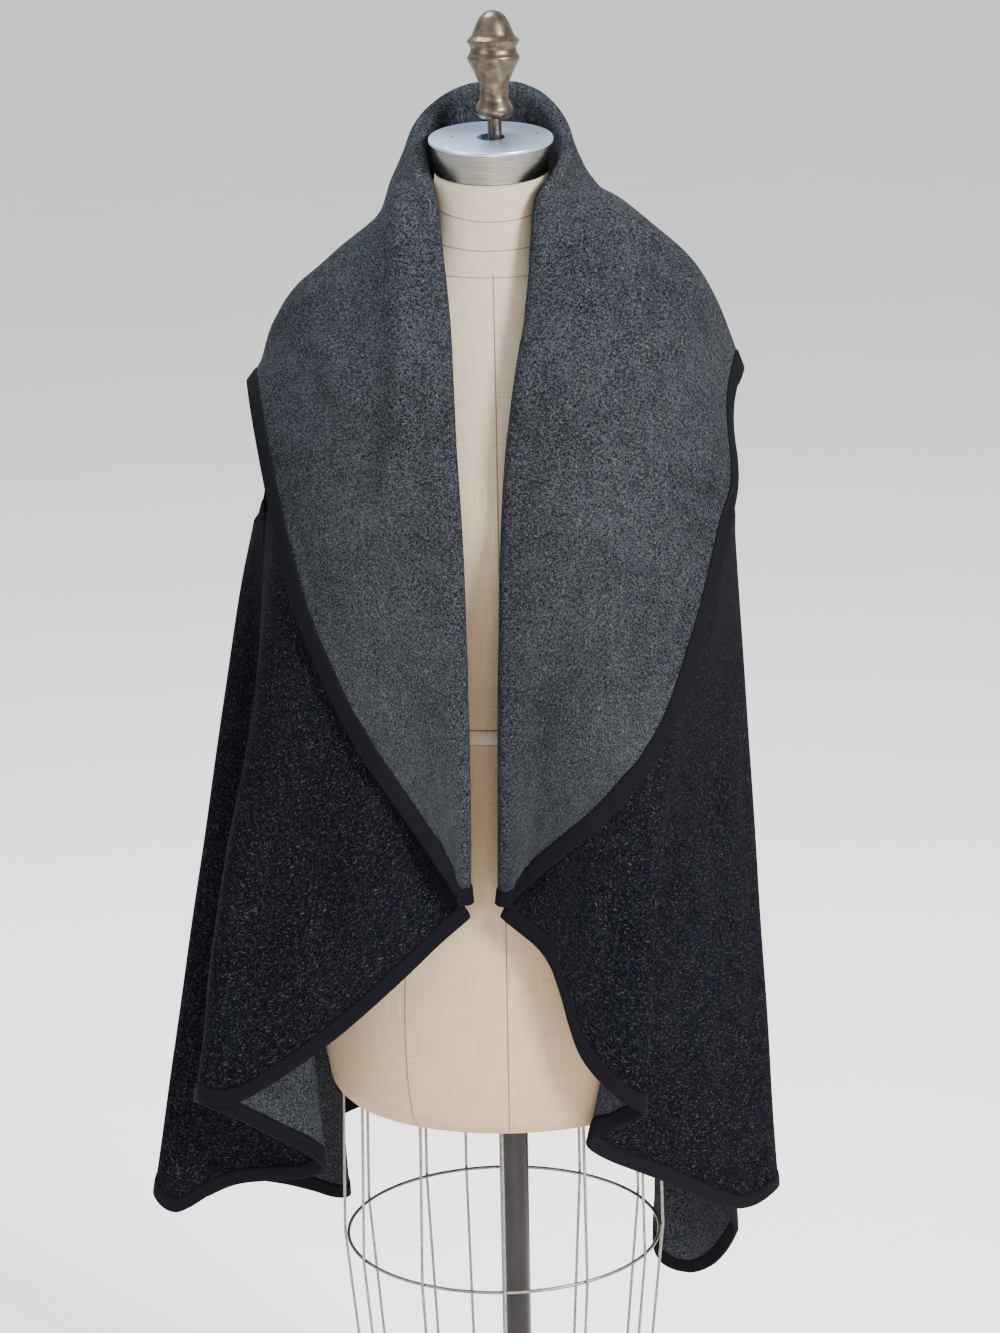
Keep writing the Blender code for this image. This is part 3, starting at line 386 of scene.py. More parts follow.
def joined(grids, flip=False):
    """The points and cells of several grids, one after another."""
    faces = []
    offset = 0
    for grid in grids:
        faces += grid_faces(grid.shape[0], grid.shape[1], offset, flip)
        offset += grid.shape[0] * grid.shape[1]
    return np.concatenate([grid.reshape(-1, 3) for grid in grids]), faces


def tree_of(grids):
    """The cells of several grids, ready to be searched."""
    points, faces = joined(grids)
    return BVHTree.FromPolygons([tuple(point) for point in points], faces)


def lift_rule(below):
    """A rule that moves points out until they lie over the panels below."""
    tree = tree_of(below)

    def rule(grid):
        moved = grid.copy()
        for k in np.ndindex(grid.shape[:2]):
            point = Vector(grid[k])
            place, normal, _, distance = tree.find_nearest(point)
            away = normal if normal.dot(Vector((place.x, place.y, 0))) > 0 else -normal
            height = (point - place).dot(away)
            if distance < LAYER_STEP or -2 * LAYER_STEP < height < -0.5 * distance:
                moved[k] = point + away * (LAYER_STEP - height)
        return moved
    return rule


def join_line(table, t):
    """The line behind the roll where the front panel goes over into the collar."""
    seams = np.array([row[1] for row in table]) * MM
    return hermite([row[0] for row in table], seams, 1 - t)


def fold_lines(collar, front, back, t):
    """Places of the fold lines at each t, from the front edge round to the centre back."""
    folds = [hermite([0, CHEST_SHARE, 1], np.array(row) * MM, t) for row in front + back]
    return np.array([join_line(collar, t)] + folds)


def body_points(lines, across, t):
    """Body points at fold coordinate across; corners stay sharp at the top edge and round off below."""
    knots = np.arange(len(lines))
    rounded = hermite(knots, lines, across)
    index = np.clip(np.floor(across).astype(int), 0, len(lines) - 2)
    share = (across - index).reshape(-1, 1, 1)
    straight = lines[index] * (1 - share) + lines[index + 1] * share
    blend = smooth(t / CORNER_SHARE).reshape(1, -1, 1)
    return straight * (1 - blend) + rounded * blend


def body_grid(collar, front, back, side, across, rows):
    """Body points of one side: a row for each place along, a column for each string."""
    t = np.linspace(0, 1, STRING_SAMPLES)
    fine = body_points(fold_lines(collar, front, back, t), across, t)
    fine[:, :, 0] *= side
    fine = rest_on_form(fine)
    grid = []
    for index, path in enumerate(fine):
        length = distances(path)[-1]
        points = resample(path, np.array(rows) * length)
        nearest = fine[min(index + 1, len(fine) - 1)] - fine[max(index - 1, 0)]
        if across[index] > 0:
            for end, row, sign in ((0, 1, 1), (-1, -2, -1)):
                string = unit(path[end + sign * 2] - path[end])
                edge = unit(nearest[end])
                slant = max(norm(np.cross(string, edge)), LEAST_SLANT)
                points[row] = resample(path, np.array([sign * BINDING_WIDTH / slant]))[0]
        grid.append(points)
    return np.array(grid).transpose(1, 0, 2)


def strings(first, last):
    """Fold coordinates of the strings between two fold lines."""
    return np.arange(first * STRINGS_PER_FOLD, last * STRINGS_PER_FOLD + 1) / STRINGS_PER_FOLD


def split_seam(grid_a, grid_b):
    """Part two grids that share a border: the last column of the first and the first of the second."""
    across = unit(grid_b[:, 1] - grid_a[:, -2])
    grid_a[:, -1] -= across * SEAM_GAP / 2
    grid_b[:, 0] += across * SEAM_GAP / 2


def part_shoulder(grid, folds, across, sign):
    """Keep a panel's top row on its own side of the shoulder seam."""
    tops = [sign] + [row[0][1] * MM for row in folds]
    height = np.interp(across, np.arange(len(tops)), np.abs(tops))
    on_shoulder = height < SHOULDER_GAP
    grid[0, on_shoulder, 1] = sign * SHOULDER_GAP


def grid_faces(rows, columns, offset=0, flip=False):
    """The cells of a grid as faces of point numbers."""
    starts = [offset + i * columns + j for i in range(rows - 1) for j in range(columns - 1)]
    faces = [(k, k + 1, k + columns + 1, k + columns) for k in starts]
    return [face[::-1] for face in faces] if flip else faces


def cage_point(level, angle, extra):
    """A point on one of the cage's oval levels."""
    height, width, depth = level
    x = CAGE_CENTRE_X + (width + extra) * cos(angle)
    return (x, CAGE_CENTRE_Y + (depth + extra) * sin(angle), height)


def half_grids(tables, side):
    """The grids of one side of the vest: its collar, front body and back body."""
    collar_table, front, back = tables
    count = len(front)
    rows = [1 - station for station in reversed(COLLAR_STATIONS_FRONT)]
    front_strings = np.append(strings(0, count), count + SIDE_SEAM)
    back_strings = np.append([count + SIDE_SEAM], strings(count + 1, count + len(back)))
    collar = collar_grid(collar_table, COLLAR_STATIONS_FRONT + COLLAR_STATIONS_BACK, side)
    body = body_grid(collar_table, front, back, side, front_strings, rows)
    rear = body_grid(collar_table, front, back, side, back_strings, rows)
    body[:, 0] = collar[:len(rows), 0][::-1]
    body = keep_clear(body, rest_on_form)
    rear = keep_clear(rear, rest_on_form)
    part_shoulder(body, front + back, front_strings, -1)
    part_shoulder(rear, front + back, back_strings, 1)
    collar[:len(rows), 0] = body[::-1, 0]
    split_seam(body, rear)
    collar = keep_clear(collar, lift_rule((body[:, 1:], rear)), len(ROLL_COLUMNS) - 1, TIP_ROWS)
    return collar, body, rear


# What shows: grid steps to each step of the solids, how ridges fade at their ends, the heights of shallow
# waves, and how close two points have to be to become one
DOWN = 5
OVER = 5
RIDGE_END = 0.35
RIDGE_START = 0.15
WAVES = 0.0011
COLLAR_WAVES = 0.0014
MERGE = 0.00002

# Collar: rows evened at the tips, how far a tip's lower corner is drawn in and up, the least gap of two
# layers, the reach of the search for one, and the rounds and shares that even both out
TIP_CALM = 24
TIP_RADIUS = 0.017
TIP_IN = 0.009
TIP_UP = 0.006
LAYER_LEAST = 0.006
LAYER_REACH = 3.5
SPREAD_ROUNDS = 6
SPREAD_SHARE = 0.98
CALM_ROUNDS = 14
CALM_SHARE = 0.6

# Form: segments round, least sharp angle, the canvas's seams (angle from the wearer's left), its waist tape,
# and the cap's pins
ROUND = 96
TORSO_ROUND = 120
CAP_ROUND = 128
SHARP_ANGLE = radians(35)
SEAM_THREAD = 0.0005
FINE_THREAD = 0.0004
SEAM_ANGLES = {"centre_front": -90, "princess_right": -122, "princess_left": -58, "side_right": -180,
               "side_left": 0, "back_right": 122, "back_left": 58, "centre_back": 90}
SEAM_HEIGHTS = (0.688, 1.444)
NECK_SEAMS = {"neck_high": 1.502, "neck_middle": 1.476, "neck_low": 1.452}
NECK_SEAM_DIP = 0.011
WAIST = 1.049
TAPE_HALF = 0.0066
TAPE_LEVELS = ((-TAPE_HALF, 0.0001), (-0.0062, 0.0008), (0.0, 0.0009), (0.0062, 0.0008), (TAPE_HALF, 0.0001))
CAP_PINS = ((-0.033, 0.003), (0.039, 0.009))
PIN_RADIUS = 0.0012

# Floor's half width, and the lights: name, place, size, power, colour
FLOOR_REACH = 60.0
LIGHTS = (("key", (2.4, -2.5, 3.0), 1.1, 440.0, (1.0, 0.98, 0.95)),
          ("fill", (-3.2, -2.4, 2.2), 2.2, 80.0, (0.9, 0.95, 1.0)),
          ("top", (-0.9, 0.7, 4.2), 1.4, 230.0, (0.93, 0.96, 1.0)),
          ("low", (0.3, -3.0, 0.3), 1.0, 52.0, (1.0, 0.7, 0.44)))

# Metals: colour, its dark marks, roughness, how the marks stretch and their scale, metal, relief
METALS = {
    "cap steel": ((0.44, 0.56, 0.72), (0.35, 0.45, 0.59), 0.34, (1, 1, 1), 30.0, 0.9, 0.04),
    "cap band": ((0.23, 0.215, 0.19), (0.12, 0.115, 0.105), 0.25, (8, 8, 260), 6.0, 1.0, 0.05),
    "finial brass": ((0.15, 0.117, 0.085), (0.045, 0.035, 0.026), 0.36, (1, 1, 1), 120.0, 0.9, 0.25),
    "pole steel": ((0.022, 0.019, 0.019), (0.009, 0.008, 0.009), 0.35, (1, 1, 0.3), 60.0, 0.6, 0.05),
    "base iron": ((0.022, 0.022, 0.024), (0.012, 0.012, 0.013), 0.5, (1, 1, 1), 150.0, 0.5, 0.2),
    "wire steel": ((0.26, 0.24, 0.225), (0.12, 0.11, 0.1), 0.4, (1, 1, 1), 200.0, 0.9, 0.1)}

# Soft ridges of the cloth in millimetres: places (x, z) of both ends, half width, height
COLLAR_CREASES = {
    "right": [((-78, 1530), (-79, 1370), 11, 10), ((-77, 1400), (-82, 1308), 10, 10.5),
              ((-82, 1330), (-98, 1268), 13, 7.1), ((-150, 1400), (-120, 1330), 16, 3.7),
              ((-105, 1130), (-75, 1030), 20, 3.1)],
    "left": [((72, 1505), (85, 1400), 13, 5.1), ((120, 1440), (155, 1375), 18, 5.1),
             ((172, 1330), (186, 1240), 15, 5.8), ((90, 1230), (62, 1100), 22, 3.4)]}
BODY_CREASES = {
    "right": [((-118, 1050), (-150, 850), 18, 4.5), ((-205, 1010), (-262, 790), 14, 3.9),
              ((-222, 1060), (-265, 700), 12, 4.5), ((-176, 950), (-198, 810), 16, 3)],
    "left": [((75, 1030), (66, 840), 16, 3.9), ((190, 1060), (205, 720), 13, 4.5),
             ((158, 980), (176, 700), 15, 3.6)]}
BACK_CREASES = [((-60, 1120), (-78, 780), 20, 4.5), ((70, 1080), (62, 760), 18, 4.2),
                ((-20, 960), (-12, 700), 16, 3.3), ((118, 1100), (150, 720), 14, 3.9),
                ((-128, 1000), (-142, 690), 14, 3.9)]


def refine(grid, knots):
    """A finer grid through the same points, smooth both ways; rows sit at the knots."""
    x = np.interp(np.arange(0, len(knots) - 1 + 1e-9, 1 / DOWN), np.arange(len(knots)), knots)
    grid = hermite(knots, grid, x)
    moved = np.moveaxis(grid, 1, 0)
    chord = norm(np.diff(moved, axis=0), axis=-1).mean(axis=1)
    columns = np.concatenate([[0], np.cumsum(np.maximum(chord, 1e-4))])
    x = np.interp(np.arange(0, len(columns) - 1 + 1e-9, 1 / OVER), np.arange(len(columns)), columns)
    return np.moveaxis(hermite(columns, moved, x), 0, 1)


def grid_normals(grid):
    """Normals of a grid of points, from its rows and columns."""
    return unit(np.cross(np.gradient(grid, axis=1), np.gradient(grid, axis=0)))


def pairs(across, along):
    """Every pair of two rows of numbers."""
    return np.stack(np.meshgrid(across, along), -1).reshape(-1, 2)


def grid_uv(grid):
    """Distances in metres across and along a grid, as texture coordinates."""
    return pairs(distances(np.moveaxis(grid, 1, 0)), distances(grid))


def linked(name, data):
    """An object with this data, in the scene."""
    item = bpy.data.objects.new(name, data)
    bpy.context.scene.collection.objects.link(item)
    return item


def thickened(item, thickness):
    """The sheet with walls on both sides of its surface."""
    wall = item.modifiers.new("Wall", "SOLIDIFY")
    wall.thickness = thickness
    wall.offset = 0.0
    wall.use_even_offset = False
    return wall


def new_object(name, points, faces, uv, looks):
    """A smooth mesh piece from points and faces."""
    mesh = bpy.data.meshes.new(name)
    mesh.from_pydata([tuple(point) for point in points], [], faces)
    if uv is not None:
        layer = mesh.uv_layers.new(name="UVMap")
        index = np.empty(len(mesh.loops), dtype=np.int32)
        mesh.loops.foreach_get("vertex_index", index)
        layer.data.foreach_set("uv", np.asarray(uv)[index].astype(np.float32).ravel())
    shape = bmesh.new()
    shape.from_mesh(mesh)
    bmesh.ops.remove_doubles(shape, verts=shape.verts, dist=MERGE)
    bmesh.ops.dissolve_degenerate(shape, edges=shape.edges, dist=1e-6)
    shape.to_mesh(mesh)
    shape.free()
    mesh.shade_smooth()
    for look in looks:
        mesh.materials.append(look)
    return linked(name, mesh)


def cloth_shell(name, grids, looks, inside):
    """A thin shell through grids of points: the first look outside, the second inside."""
    uv = np.concatenate([grid_uv(grid) for grid in grids])
    item = new_object(name, *joined(grids, inside), uv, looks)
    thickened(item, CLOTH).material_offset = 1
    return item


def outward(grid):
    """The grid's normals, turned away from the form's middle."""
    normals = grid_normals(grid)
    return normals * np.where(np.sum(normals[..., :2] * grid[..., :2], axis=-1) < 0, -1, 1)[..., None]


def creased(grid, normals, creases, waves):
    """A grid with soft ridges laid on it, each fading at both ends, and shallow waves between them."""
    height = np.zeros(grid.shape[:2])
    for start, end, width, lift in creases:
        start = np.array(start) * MM
        line = np.array(end) * MM - start
        length = norm(line)
        place = grid[..., (0, 2)] - start
        along = place @ line / length**2
        across = np.abs(place[..., 0] * line[1] - place[..., 1] * line[0]) / length
        fade = smooth(along / RIDGE_END + RIDGE_START) * smooth((1 - along) / RIDGE_END + RIDGE_START)
        height += lift * MM * fade * np.exp(-(across / (width * MM))**2)
    x, y, z = np.moveaxis(grid, -1, 0)
    broad = np.sin(x * 41 + z * 13 + 0.7) * np.sin(z * 17 - y * 23 + 1.9)
    narrow = 0.6 * np.sin(x * 67 - z * 29 + y * 31)
    height += waves * (1 + (broad + narrow) / 1.6) / 2
    return grid + normals * height[..., None]


def binding_strip(name, rows, normals, look):
    """A folded binding round an edge, from rows of the cloth's points from the edge to the inner rim."""
    half = CLOTH / 2 + BINDING_GAP + BINDING_CLOTH / 2
    edge = rows[0]
    past = unit(edge - rows[-1]) * (BINDING_EDGE_GAP + BINDING_CLOTH / 2)
    along = distances(edge)
    last = len(rows) - 1
    face = []
    width = []
    for k in range(last, -1, -1):
        lift = half - BINDING_GAP if k == last else half
        face.append((rows[k] + past * (0.35 if k == 0 else 0.0), normals[k] * lift))
        width.append(BINDING_WIDTH * (1 - k / last))
    face.append((edge + past * 0.85, normals[0] * half * 0.6))
    width.append(BINDING_WIDTH * 1.04)
    points = [point + lift for point, lift in face] + [edge + past]
    points += [point - lift for point, lift in face[::-1]]
    width += [BINDING_WIDTH * 1.06] + [BINDING_WIDTH * 2.12 - w for w in width[::-1]]
    points = np.array(points)
    uv = pairs(along, width)
    faces = grid_faces(len(points), points.shape[1])
    item = new_object(name, points.reshape(-1, 3), faces, uv, [look])
    thickened(item, BINDING_CLOTH)
    return item, along[-1]


class Nodes:
    """A small helper that adds shader nodes and links them."""

    def __init__(self, name, roughness, specular=0.5, metallic=0.0):
        self.material = bpy.data.materials.new(name)
        self.material.use_nodes = True
        self.tree = self.material.node_tree
        self.shader = self.tree.nodes["Principled BSDF"]
        self.shader.inputs["Roughness"].default_value = roughness
        self.shader.inputs["Metallic"].default_value = metallic
        self.shader.inputs["Specular IOR Level"].default_value = specular

    def add(self, kind, inputs=None, **settings):
        """A node with its settings, its inputs linked or set to values."""
        node = self.tree.nodes.new(kind)
        for key, value in settings.items():
            setattr(node, key, value)
        for key, value in (inputs or {}).items():
            if isinstance(value, bpy.types.NodeSocket):
                self.tree.links.new(value, node.inputs[key])
            else:
                node.inputs[key].default_value = value
        return node

    def place(self, scale, kind="UV", turn=0.0):
        """Texture coordinates, turned and stretched."""
        source = self.add("ShaderNodeTexCoord").outputs[kind]
        stretch = tuple(1 / value for value in scale)
        return self.add("ShaderNodeMapping", {"Vector": source, "Scale": stretch, "Rotation": (0, 0, turn)},
                        vector_type="TEXTURE").outputs[0]

    def noise(self, vector, scale, detail=2.0, rough=0.5, warp=0.0):
        inputs = {"Vector": vector, "Scale": scale, "Detail": detail, "Roughness": rough, "Distortion": warp}
        return self.add("ShaderNodeTexNoise", inputs).outputs["Fac"]

    def ramp(self, value, stops):
        """Colours along a value, each at its stop."""
        node = self.add("ShaderNodeValToRGB", {"Fac": value})
        band = node.color_ramp
        while len(band.elements) < len(stops):
            band.elements.new(0.5)
        for element, (place, colour) in zip(band.elements, stops):
            element.position = place
            element.color = (*colour, 1.0)
        return node.outputs["Color"]

    def math(self, operation, a, b=0.0, clamp=False):
        return self.add("ShaderNodeMath", {0: a, 1: b}, operation=operation, use_clamp=clamp).outputs[0]

    plus = partialmethod(math, "ADD")
    minus = partialmethod(math, "SUBTRACT")
    times = partialmethod(math, "MULTIPLY")

    def mix(self, factor, a, b, blend="MIX"):
        """Two colours blended; each is a socket or three numbers."""
        a, b = [c if isinstance(c, bpy.types.NodeSocket) else (*c, 1.0) for c in (a, b)]
        node = self.add("ShaderNodeMix", {0: factor, 6: a, 7: b}, data_type="RGBA", blend_type=blend)
        return node.outputs[2]

    def colour(self, value):
        self.tree.links.new(value, self.shader.inputs["Base Color"])

    def bump(self, height, strength, distance):
        node = self.add("ShaderNodeBump", {"Height": height, "Strength": strength, "Distance": distance})
        self.tree.links.new(node.outputs[0], self.shader.inputs["Normal"])


def wool(name, low, mid, high, speck, sheen, strays):
    """Felted coating wool: short fibres that lie every way, in three tones, with pale strays over them."""
    n = Nodes(name, 0.95, 0.03)
    n.shader.inputs["Sheen Weight"].default_value = sheen
    n.shader.inputs["Sheen Roughness"].default_value = 0.5
    flat = n.place((1, 1, 1))
    fine = n.noise(flat, 760.0, 2.0, 0.6, 0.5)
    ways = [n.noise(n.place((1, 0.35, 1), turn=turn), 900.0, 2.0, 0.6, 0.6) for turn in (0.3, 1.3, 2.3)]
    cloud = n.noise(flat, 60.0, 3.0, 0.6)
    patch = n.noise(flat, 9.0, 2.0, 0.5)
    fibres = n.plus(n.times(fine, 0.31), n.times(n.plus(ways[0], ways[1]), 0.23))
    fibres = n.plus(fibres, n.times(ways[2], 0.23))
    tone = n.plus(fibres, n.times(n.plus(cloud, patch), 0.075))
    base = n.ramp(tone, [(0.45, low), (0.55, mid), (0.65, high)])
    curl_a = n.noise(n.place((1, 0.22, 1), turn=0.9), 1150.0, 1.0, 0.5, 0.8)
    curl_b = n.noise(n.place((1, 0.26, 1), turn=-0.5), 1250.0, 1.0, 0.5, 0.8)
    stray = n.times(n.minus(n.math("MAXIMUM", curl_a, curl_b), strays), 8.0, True)
    n.colour(n.mix(stray, base, speck))
    n.bump(n.plus(fibres, n.times(cloud, 0.3)), 0.6, 0.0009)
    return n.material


def binding_look(name, colour, light):
    """Dark braid binding: fine ribs along its length and three rows of stitches."""
    n = Nodes(name, 0.8, 0.06)
    uv = n.add("ShaderNodeSeparateXYZ", {0: n.add("ShaderNodeTexCoord").outputs["UV"]})
    across = n.math("PINGPONG", uv.outputs[1], BINDING_WIDTH)
    rib = n.math("SINE", n.times(across, 2 * pi / 0.0011))
    thread = None
    for place in (0.0016, 0.0034, 0.0104):
        off = n.math("ABSOLUTE", n.minus(across, place))
        near = n.minus(1.0, n.math("DIVIDE", off, 0.0004), True)
        thread = near if thread is None else n.math("MAXIMUM", thread, near)
    dash = n.math("SINE", n.times(uv.outputs[0], 2 * pi / 0.003))
    stitch = n.times(thread, n.plus(n.times(dash, 0.5), 0.5))
    grain = n.noise(n.place((1, 1, 1)), 1500.0, 2.0)
    n.colour(n.mix(n.plus(n.times(stitch, 0.5), n.times(grain, 0.3)), colour, light))
    height = n.plus(n.times(rib, 0.25), n.minus(n.times(stitch, 0.8), n.times(thread, 0.9)))
    n.bump(n.plus(height, grain), 0.6, 0.0004)
    return n.material


def canvas_look(name, pale, tint_for_mottle_and_warm_light, weave):
    """Unbleached linen canvas: a plain weave with uneven threads, soft mottling, and painted warm light that
    grows lower down.
    """
    n = Nodes(name, 0.85, 0.2)
    warp = n.noise(n.place((1, 0.02, 1)), 1400.0, 2.0)
    weft = n.noise(n.place((0.02, 1, 1)), 1400.0, 2.0)
    cloud = n.noise(n.place((1, 1, 1)), 14.0, 3.0)
    threads = n.plus(n.times(warp, 0.5), n.times(weft, 0.5))
    base = n.mix(n.times(n.minus(threads, 0.42), 4.0, True), weave, pale)
    height = n.add("ShaderNodeSeparateXYZ", {0: n.place((1, 1, 1), "Object")}).outputs[2]
    # Painted warm light: the lower the canvas stands below 1.3 m, the more of the warm tint it takes. Random
    # mottling from the cloud noise is added on top.
    mottle_and_low_warm_light = n.plus(n.minus(cloud, 0.4), n.times(n.minus(1.3, height), 1.5), True)
    n.colour(n.mix(mottle_and_low_warm_light, base, tint_for_mottle_and_warm_light, "MULTIPLY"))
    n.bump(threads, 0.35, 0.0004)
    return n.material


def metal_look(name, colour, dark, roughness, stretch, scale, metallic, bump):
    """Worn metal: brushed or aged by stretched noise."""
    n = Nodes(name, roughness, metallic=metallic)
    marks = n.noise(n.place(stretch, "Object"), scale, 4.0, 0.6)
    n.colour(n.mix(n.times(n.minus(marks, 0.35), 2.5, True), dark, colour))
    n.bump(marks, bump, 0.0003)
    return n.material


def torso_point(angle, z, out=0.0):
    """A point on the torso's canvas at an angle from the wearer's left (+X), front at -90 degrees."""
    table = np.array(TORSO_SECTIONS)
    width, front, back, tilt = hermite(table[:, 0], table[:, 1:], z)[0]
    y = sin(angle) * ((front if sin(angle) < 0 else back) + out)
    return (BODY_X + (width + out) * cos(angle), y, z + y * tan(radians(tilt)))


def angles(count, last=0):
    """Equal steps round a full turn."""
    return [2 * pi * k / count for k in range(count + last)]


def turned(name, profile, segments, looks):
    """A turned piece: a profile of (radius, height) rows spun round Z."""
    points = [(radius * cos(angle), radius * sin(angle), height)
              for radius, height in profile for angle in angles(segments)]
    faces = []
    for low in range(0, (len(profile) - 1) * segments, segments):
        for k in range(segments):
            after = low + (k + 1) % segments
            faces.append((low + k, low + segments + k, after + segments, after))
    item = new_object(name, points, faces, None, looks)
    item.data.set_sharp_from_angle(angle=SHARP_ANGLE)
    return item


def rod(radius, top, bottom):
    """The profile of a plain rod."""
    return [(0.0, top), (radius, top), (radius, bottom), (0.0, bottom)]


def rounded(profile, radius):
    """A profile with its inner corners cut by small fillets of three points."""
    rows = [np.array(row, float) for row in profile]
    result = [rows[0]]
    for before, corner, after in zip(rows, rows[1:], rows[2:]):
        a = before - corner
        b = after - corner
        reach = min(radius, norm(a) * 0.4, norm(b) * 0.4)
        start = corner + unit(a) * reach
        end = corner + unit(b) * reach
        result += [start, (start + 2 * corner + end) / 4, end]
    result.append(rows[-1])
    return result


def tube(name, path, radius, closed, look):
    """A round wire or thread along a path."""
    curve = bpy.data.curves.new(name, "CURVE")
    curve.dimensions = "3D"
    spline = curve.splines.new("POLY")
    spline.points.add(len(path) - 1)
    for point, place in zip(spline.points, path):
        point.co = (*place, 1.0)
    spline.use_cyclic_u = closed
    curve.bevel_depth = radius
    curve.bevel_resolution = 3
    curve.use_fill_caps = not closed
    curve.materials.append(look)
    return linked(name, curve)


def stand_for(item, node):
    """The piece rides on the part's one body and stands for a solid, which is hidden."""
    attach(item, "root")
    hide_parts(node)


def neighbours(grid):
    """The mean of the four neighbours of each inner point of a grid."""
    return (grid[:-2, 1:-1] + grid[2:, 1:-1] + grid[1:-1, :-2] + grid[1:-1, 2:]) / 4


def lifted(collar, body):
    """The collar, raised off the panel below wherever the finer surfaces would come too close."""
    tree = tree_of((body[:, OVER:],))
    first = (len(ROLL_COLUMNS) - 1) * OVER
    away = outward(collar)
    shift = np.zeros(collar.shape[:2])
    for row in range(len(collar)):
        for column in range(first, collar.shape[1]):
            ray = Vector(away[row, column])
            start = Vector(collar[row, column]) - ray * LAYER_STEP * 2
            hit = tree.ray_cast(start, ray, LAYER_STEP * LAYER_REACH)
            if hit[0] is not None:
                shift[row, column] = max(0.0, hit[3] - 2 * LAYER_STEP + LAYER_LEAST)
    for _ in range(SPREAD_ROUNDS):
        shift = np.maximum(shift, neighbours(np.pad(shift, 1, mode="edge")) * SPREAD_SHARE)
    shift[:, :first] = 0
    return collar + away * shift[..., None]


def relaxed(grid, rows, first):
    """The collar with the cloth near its tip drawn even, its edges left where they are."""
    calm = grid.copy()
    for _ in range(CALM_ROUNDS):
        mean = neighbours(calm)
        calm[1:rows, first:-1] += CALM_SHARE * (mean[:rows - 1, first - 1:] - calm[1:rows, first:-1])
    return calm


def tucked(grid, corner, side):
    """The cloth round a tip's lower corner, drawn in under the roll so that the edge runs on round it."""
    share = np.exp(-np.sum((grid[..., (0, 2)] - corner[[0, 2]])**2, axis=-1) / TIP_RADIUS**2)
    return grid + share[..., None] * np.array([-side * TIP_IN, 0, TIP_UP])


def edge_rows(collar, body):
    """Rows of points and normals from a front's edge inwards, run from the centre back round the hem."""
    last = collar.shape[1] - 1
    collar_normal = grid_normals(collar)
    body_normal = grid_normals(body)
    rows = []
    normals = []
    for step in range(OVER + 1):
        places = [(max(k, step), last - step) for k in range(len(collar) - 1, -1, -1)]
        places += [(step, min(column, last - step)) for column in range(last - 1, 0, -1)]
        rows.append(np.array([collar[place] for place in places] + list(body[-1 - step])))
        normals.append(np.array([collar_normal[place] for place in places] + list(body_normal[-1 - step])))
    return rows, normals


def bound_piece(name, grids, edge, looks, edging, inside=False):
    """One piece of cloth, the binding round its edge and the binding's length."""
    item = cloth_shell("vest_" + name, grids, looks, inside)
    strip, length = binding_strip("binding_%s_cloth" % name, *edge, edging)
    stand_for(item, name)
    stand_for(strip, "binding_" + name)
    return item, strip, length


def add_vest(looks, edging):
    """The vest's three pieces of cloth, each with its binding and the binding's length."""
    halves = (half_grids((COLLAR_RIGHT, FRONT_RIGHT, BACK_RIGHT), -1),
              half_grids((COLLAR_LEFT, FRONT_LEFT, BACK_LEFT + BACK_RIGHT[-1:]), 1))
    rows = [1 - station for station in reversed(COLLAR_STATIONS_FRONT)]
    stations = COLLAR_STATIONS_FRONT + COLLAR_STATIONS_BACK
    made = []
    for (collar, body, _), name, side in zip(halves, ("right", "left"), (-1, 1)):
        fine_collar = tucked(refine(collar, stations), collar[0, 0], side)
        fine_body = tucked(refine(body, rows), collar[0, 0], side)
        fine_body = creased(fine_body, outward(fine_body), BODY_CREASES[name], WAVES)
        fine_collar = relaxed(fine_collar, TIP_CALM, (len(ROLL_COLUMNS) - 1) * OVER + 1)
        fine_collar = lifted(fine_collar, fine_body)
        lift = outward(fine_collar) * smooth(np.arange(fine_collar.shape[1]) / (4 * OVER))[None, :, None]
        fine_collar = creased(fine_collar, lift, COLLAR_CREASES[name], COLLAR_WAVES)
        fine_body[:, 0] = fine_collar[:len(fine_body), 0][::-1]
        edge = edge_rows(fine_collar, fine_body)
        made.append(bound_piece("front_" + name, (fine_collar, fine_body), edge, looks, edging, side > 0))
    fine_back = refine(np.concatenate([halves[0][2], halves[1][2][:, ::-1][:, 1:]], axis=1), rows)
    fine_back = creased(fine_back, outward(fine_back), BACK_CREASES, WAVES)
    edge = [grid[:-DOWN - 2:-1] for grid in (fine_back, grid_normals(fine_back))]
    made.append(bound_piece("back", (fine_back,), edge, looks, edging))
    return made


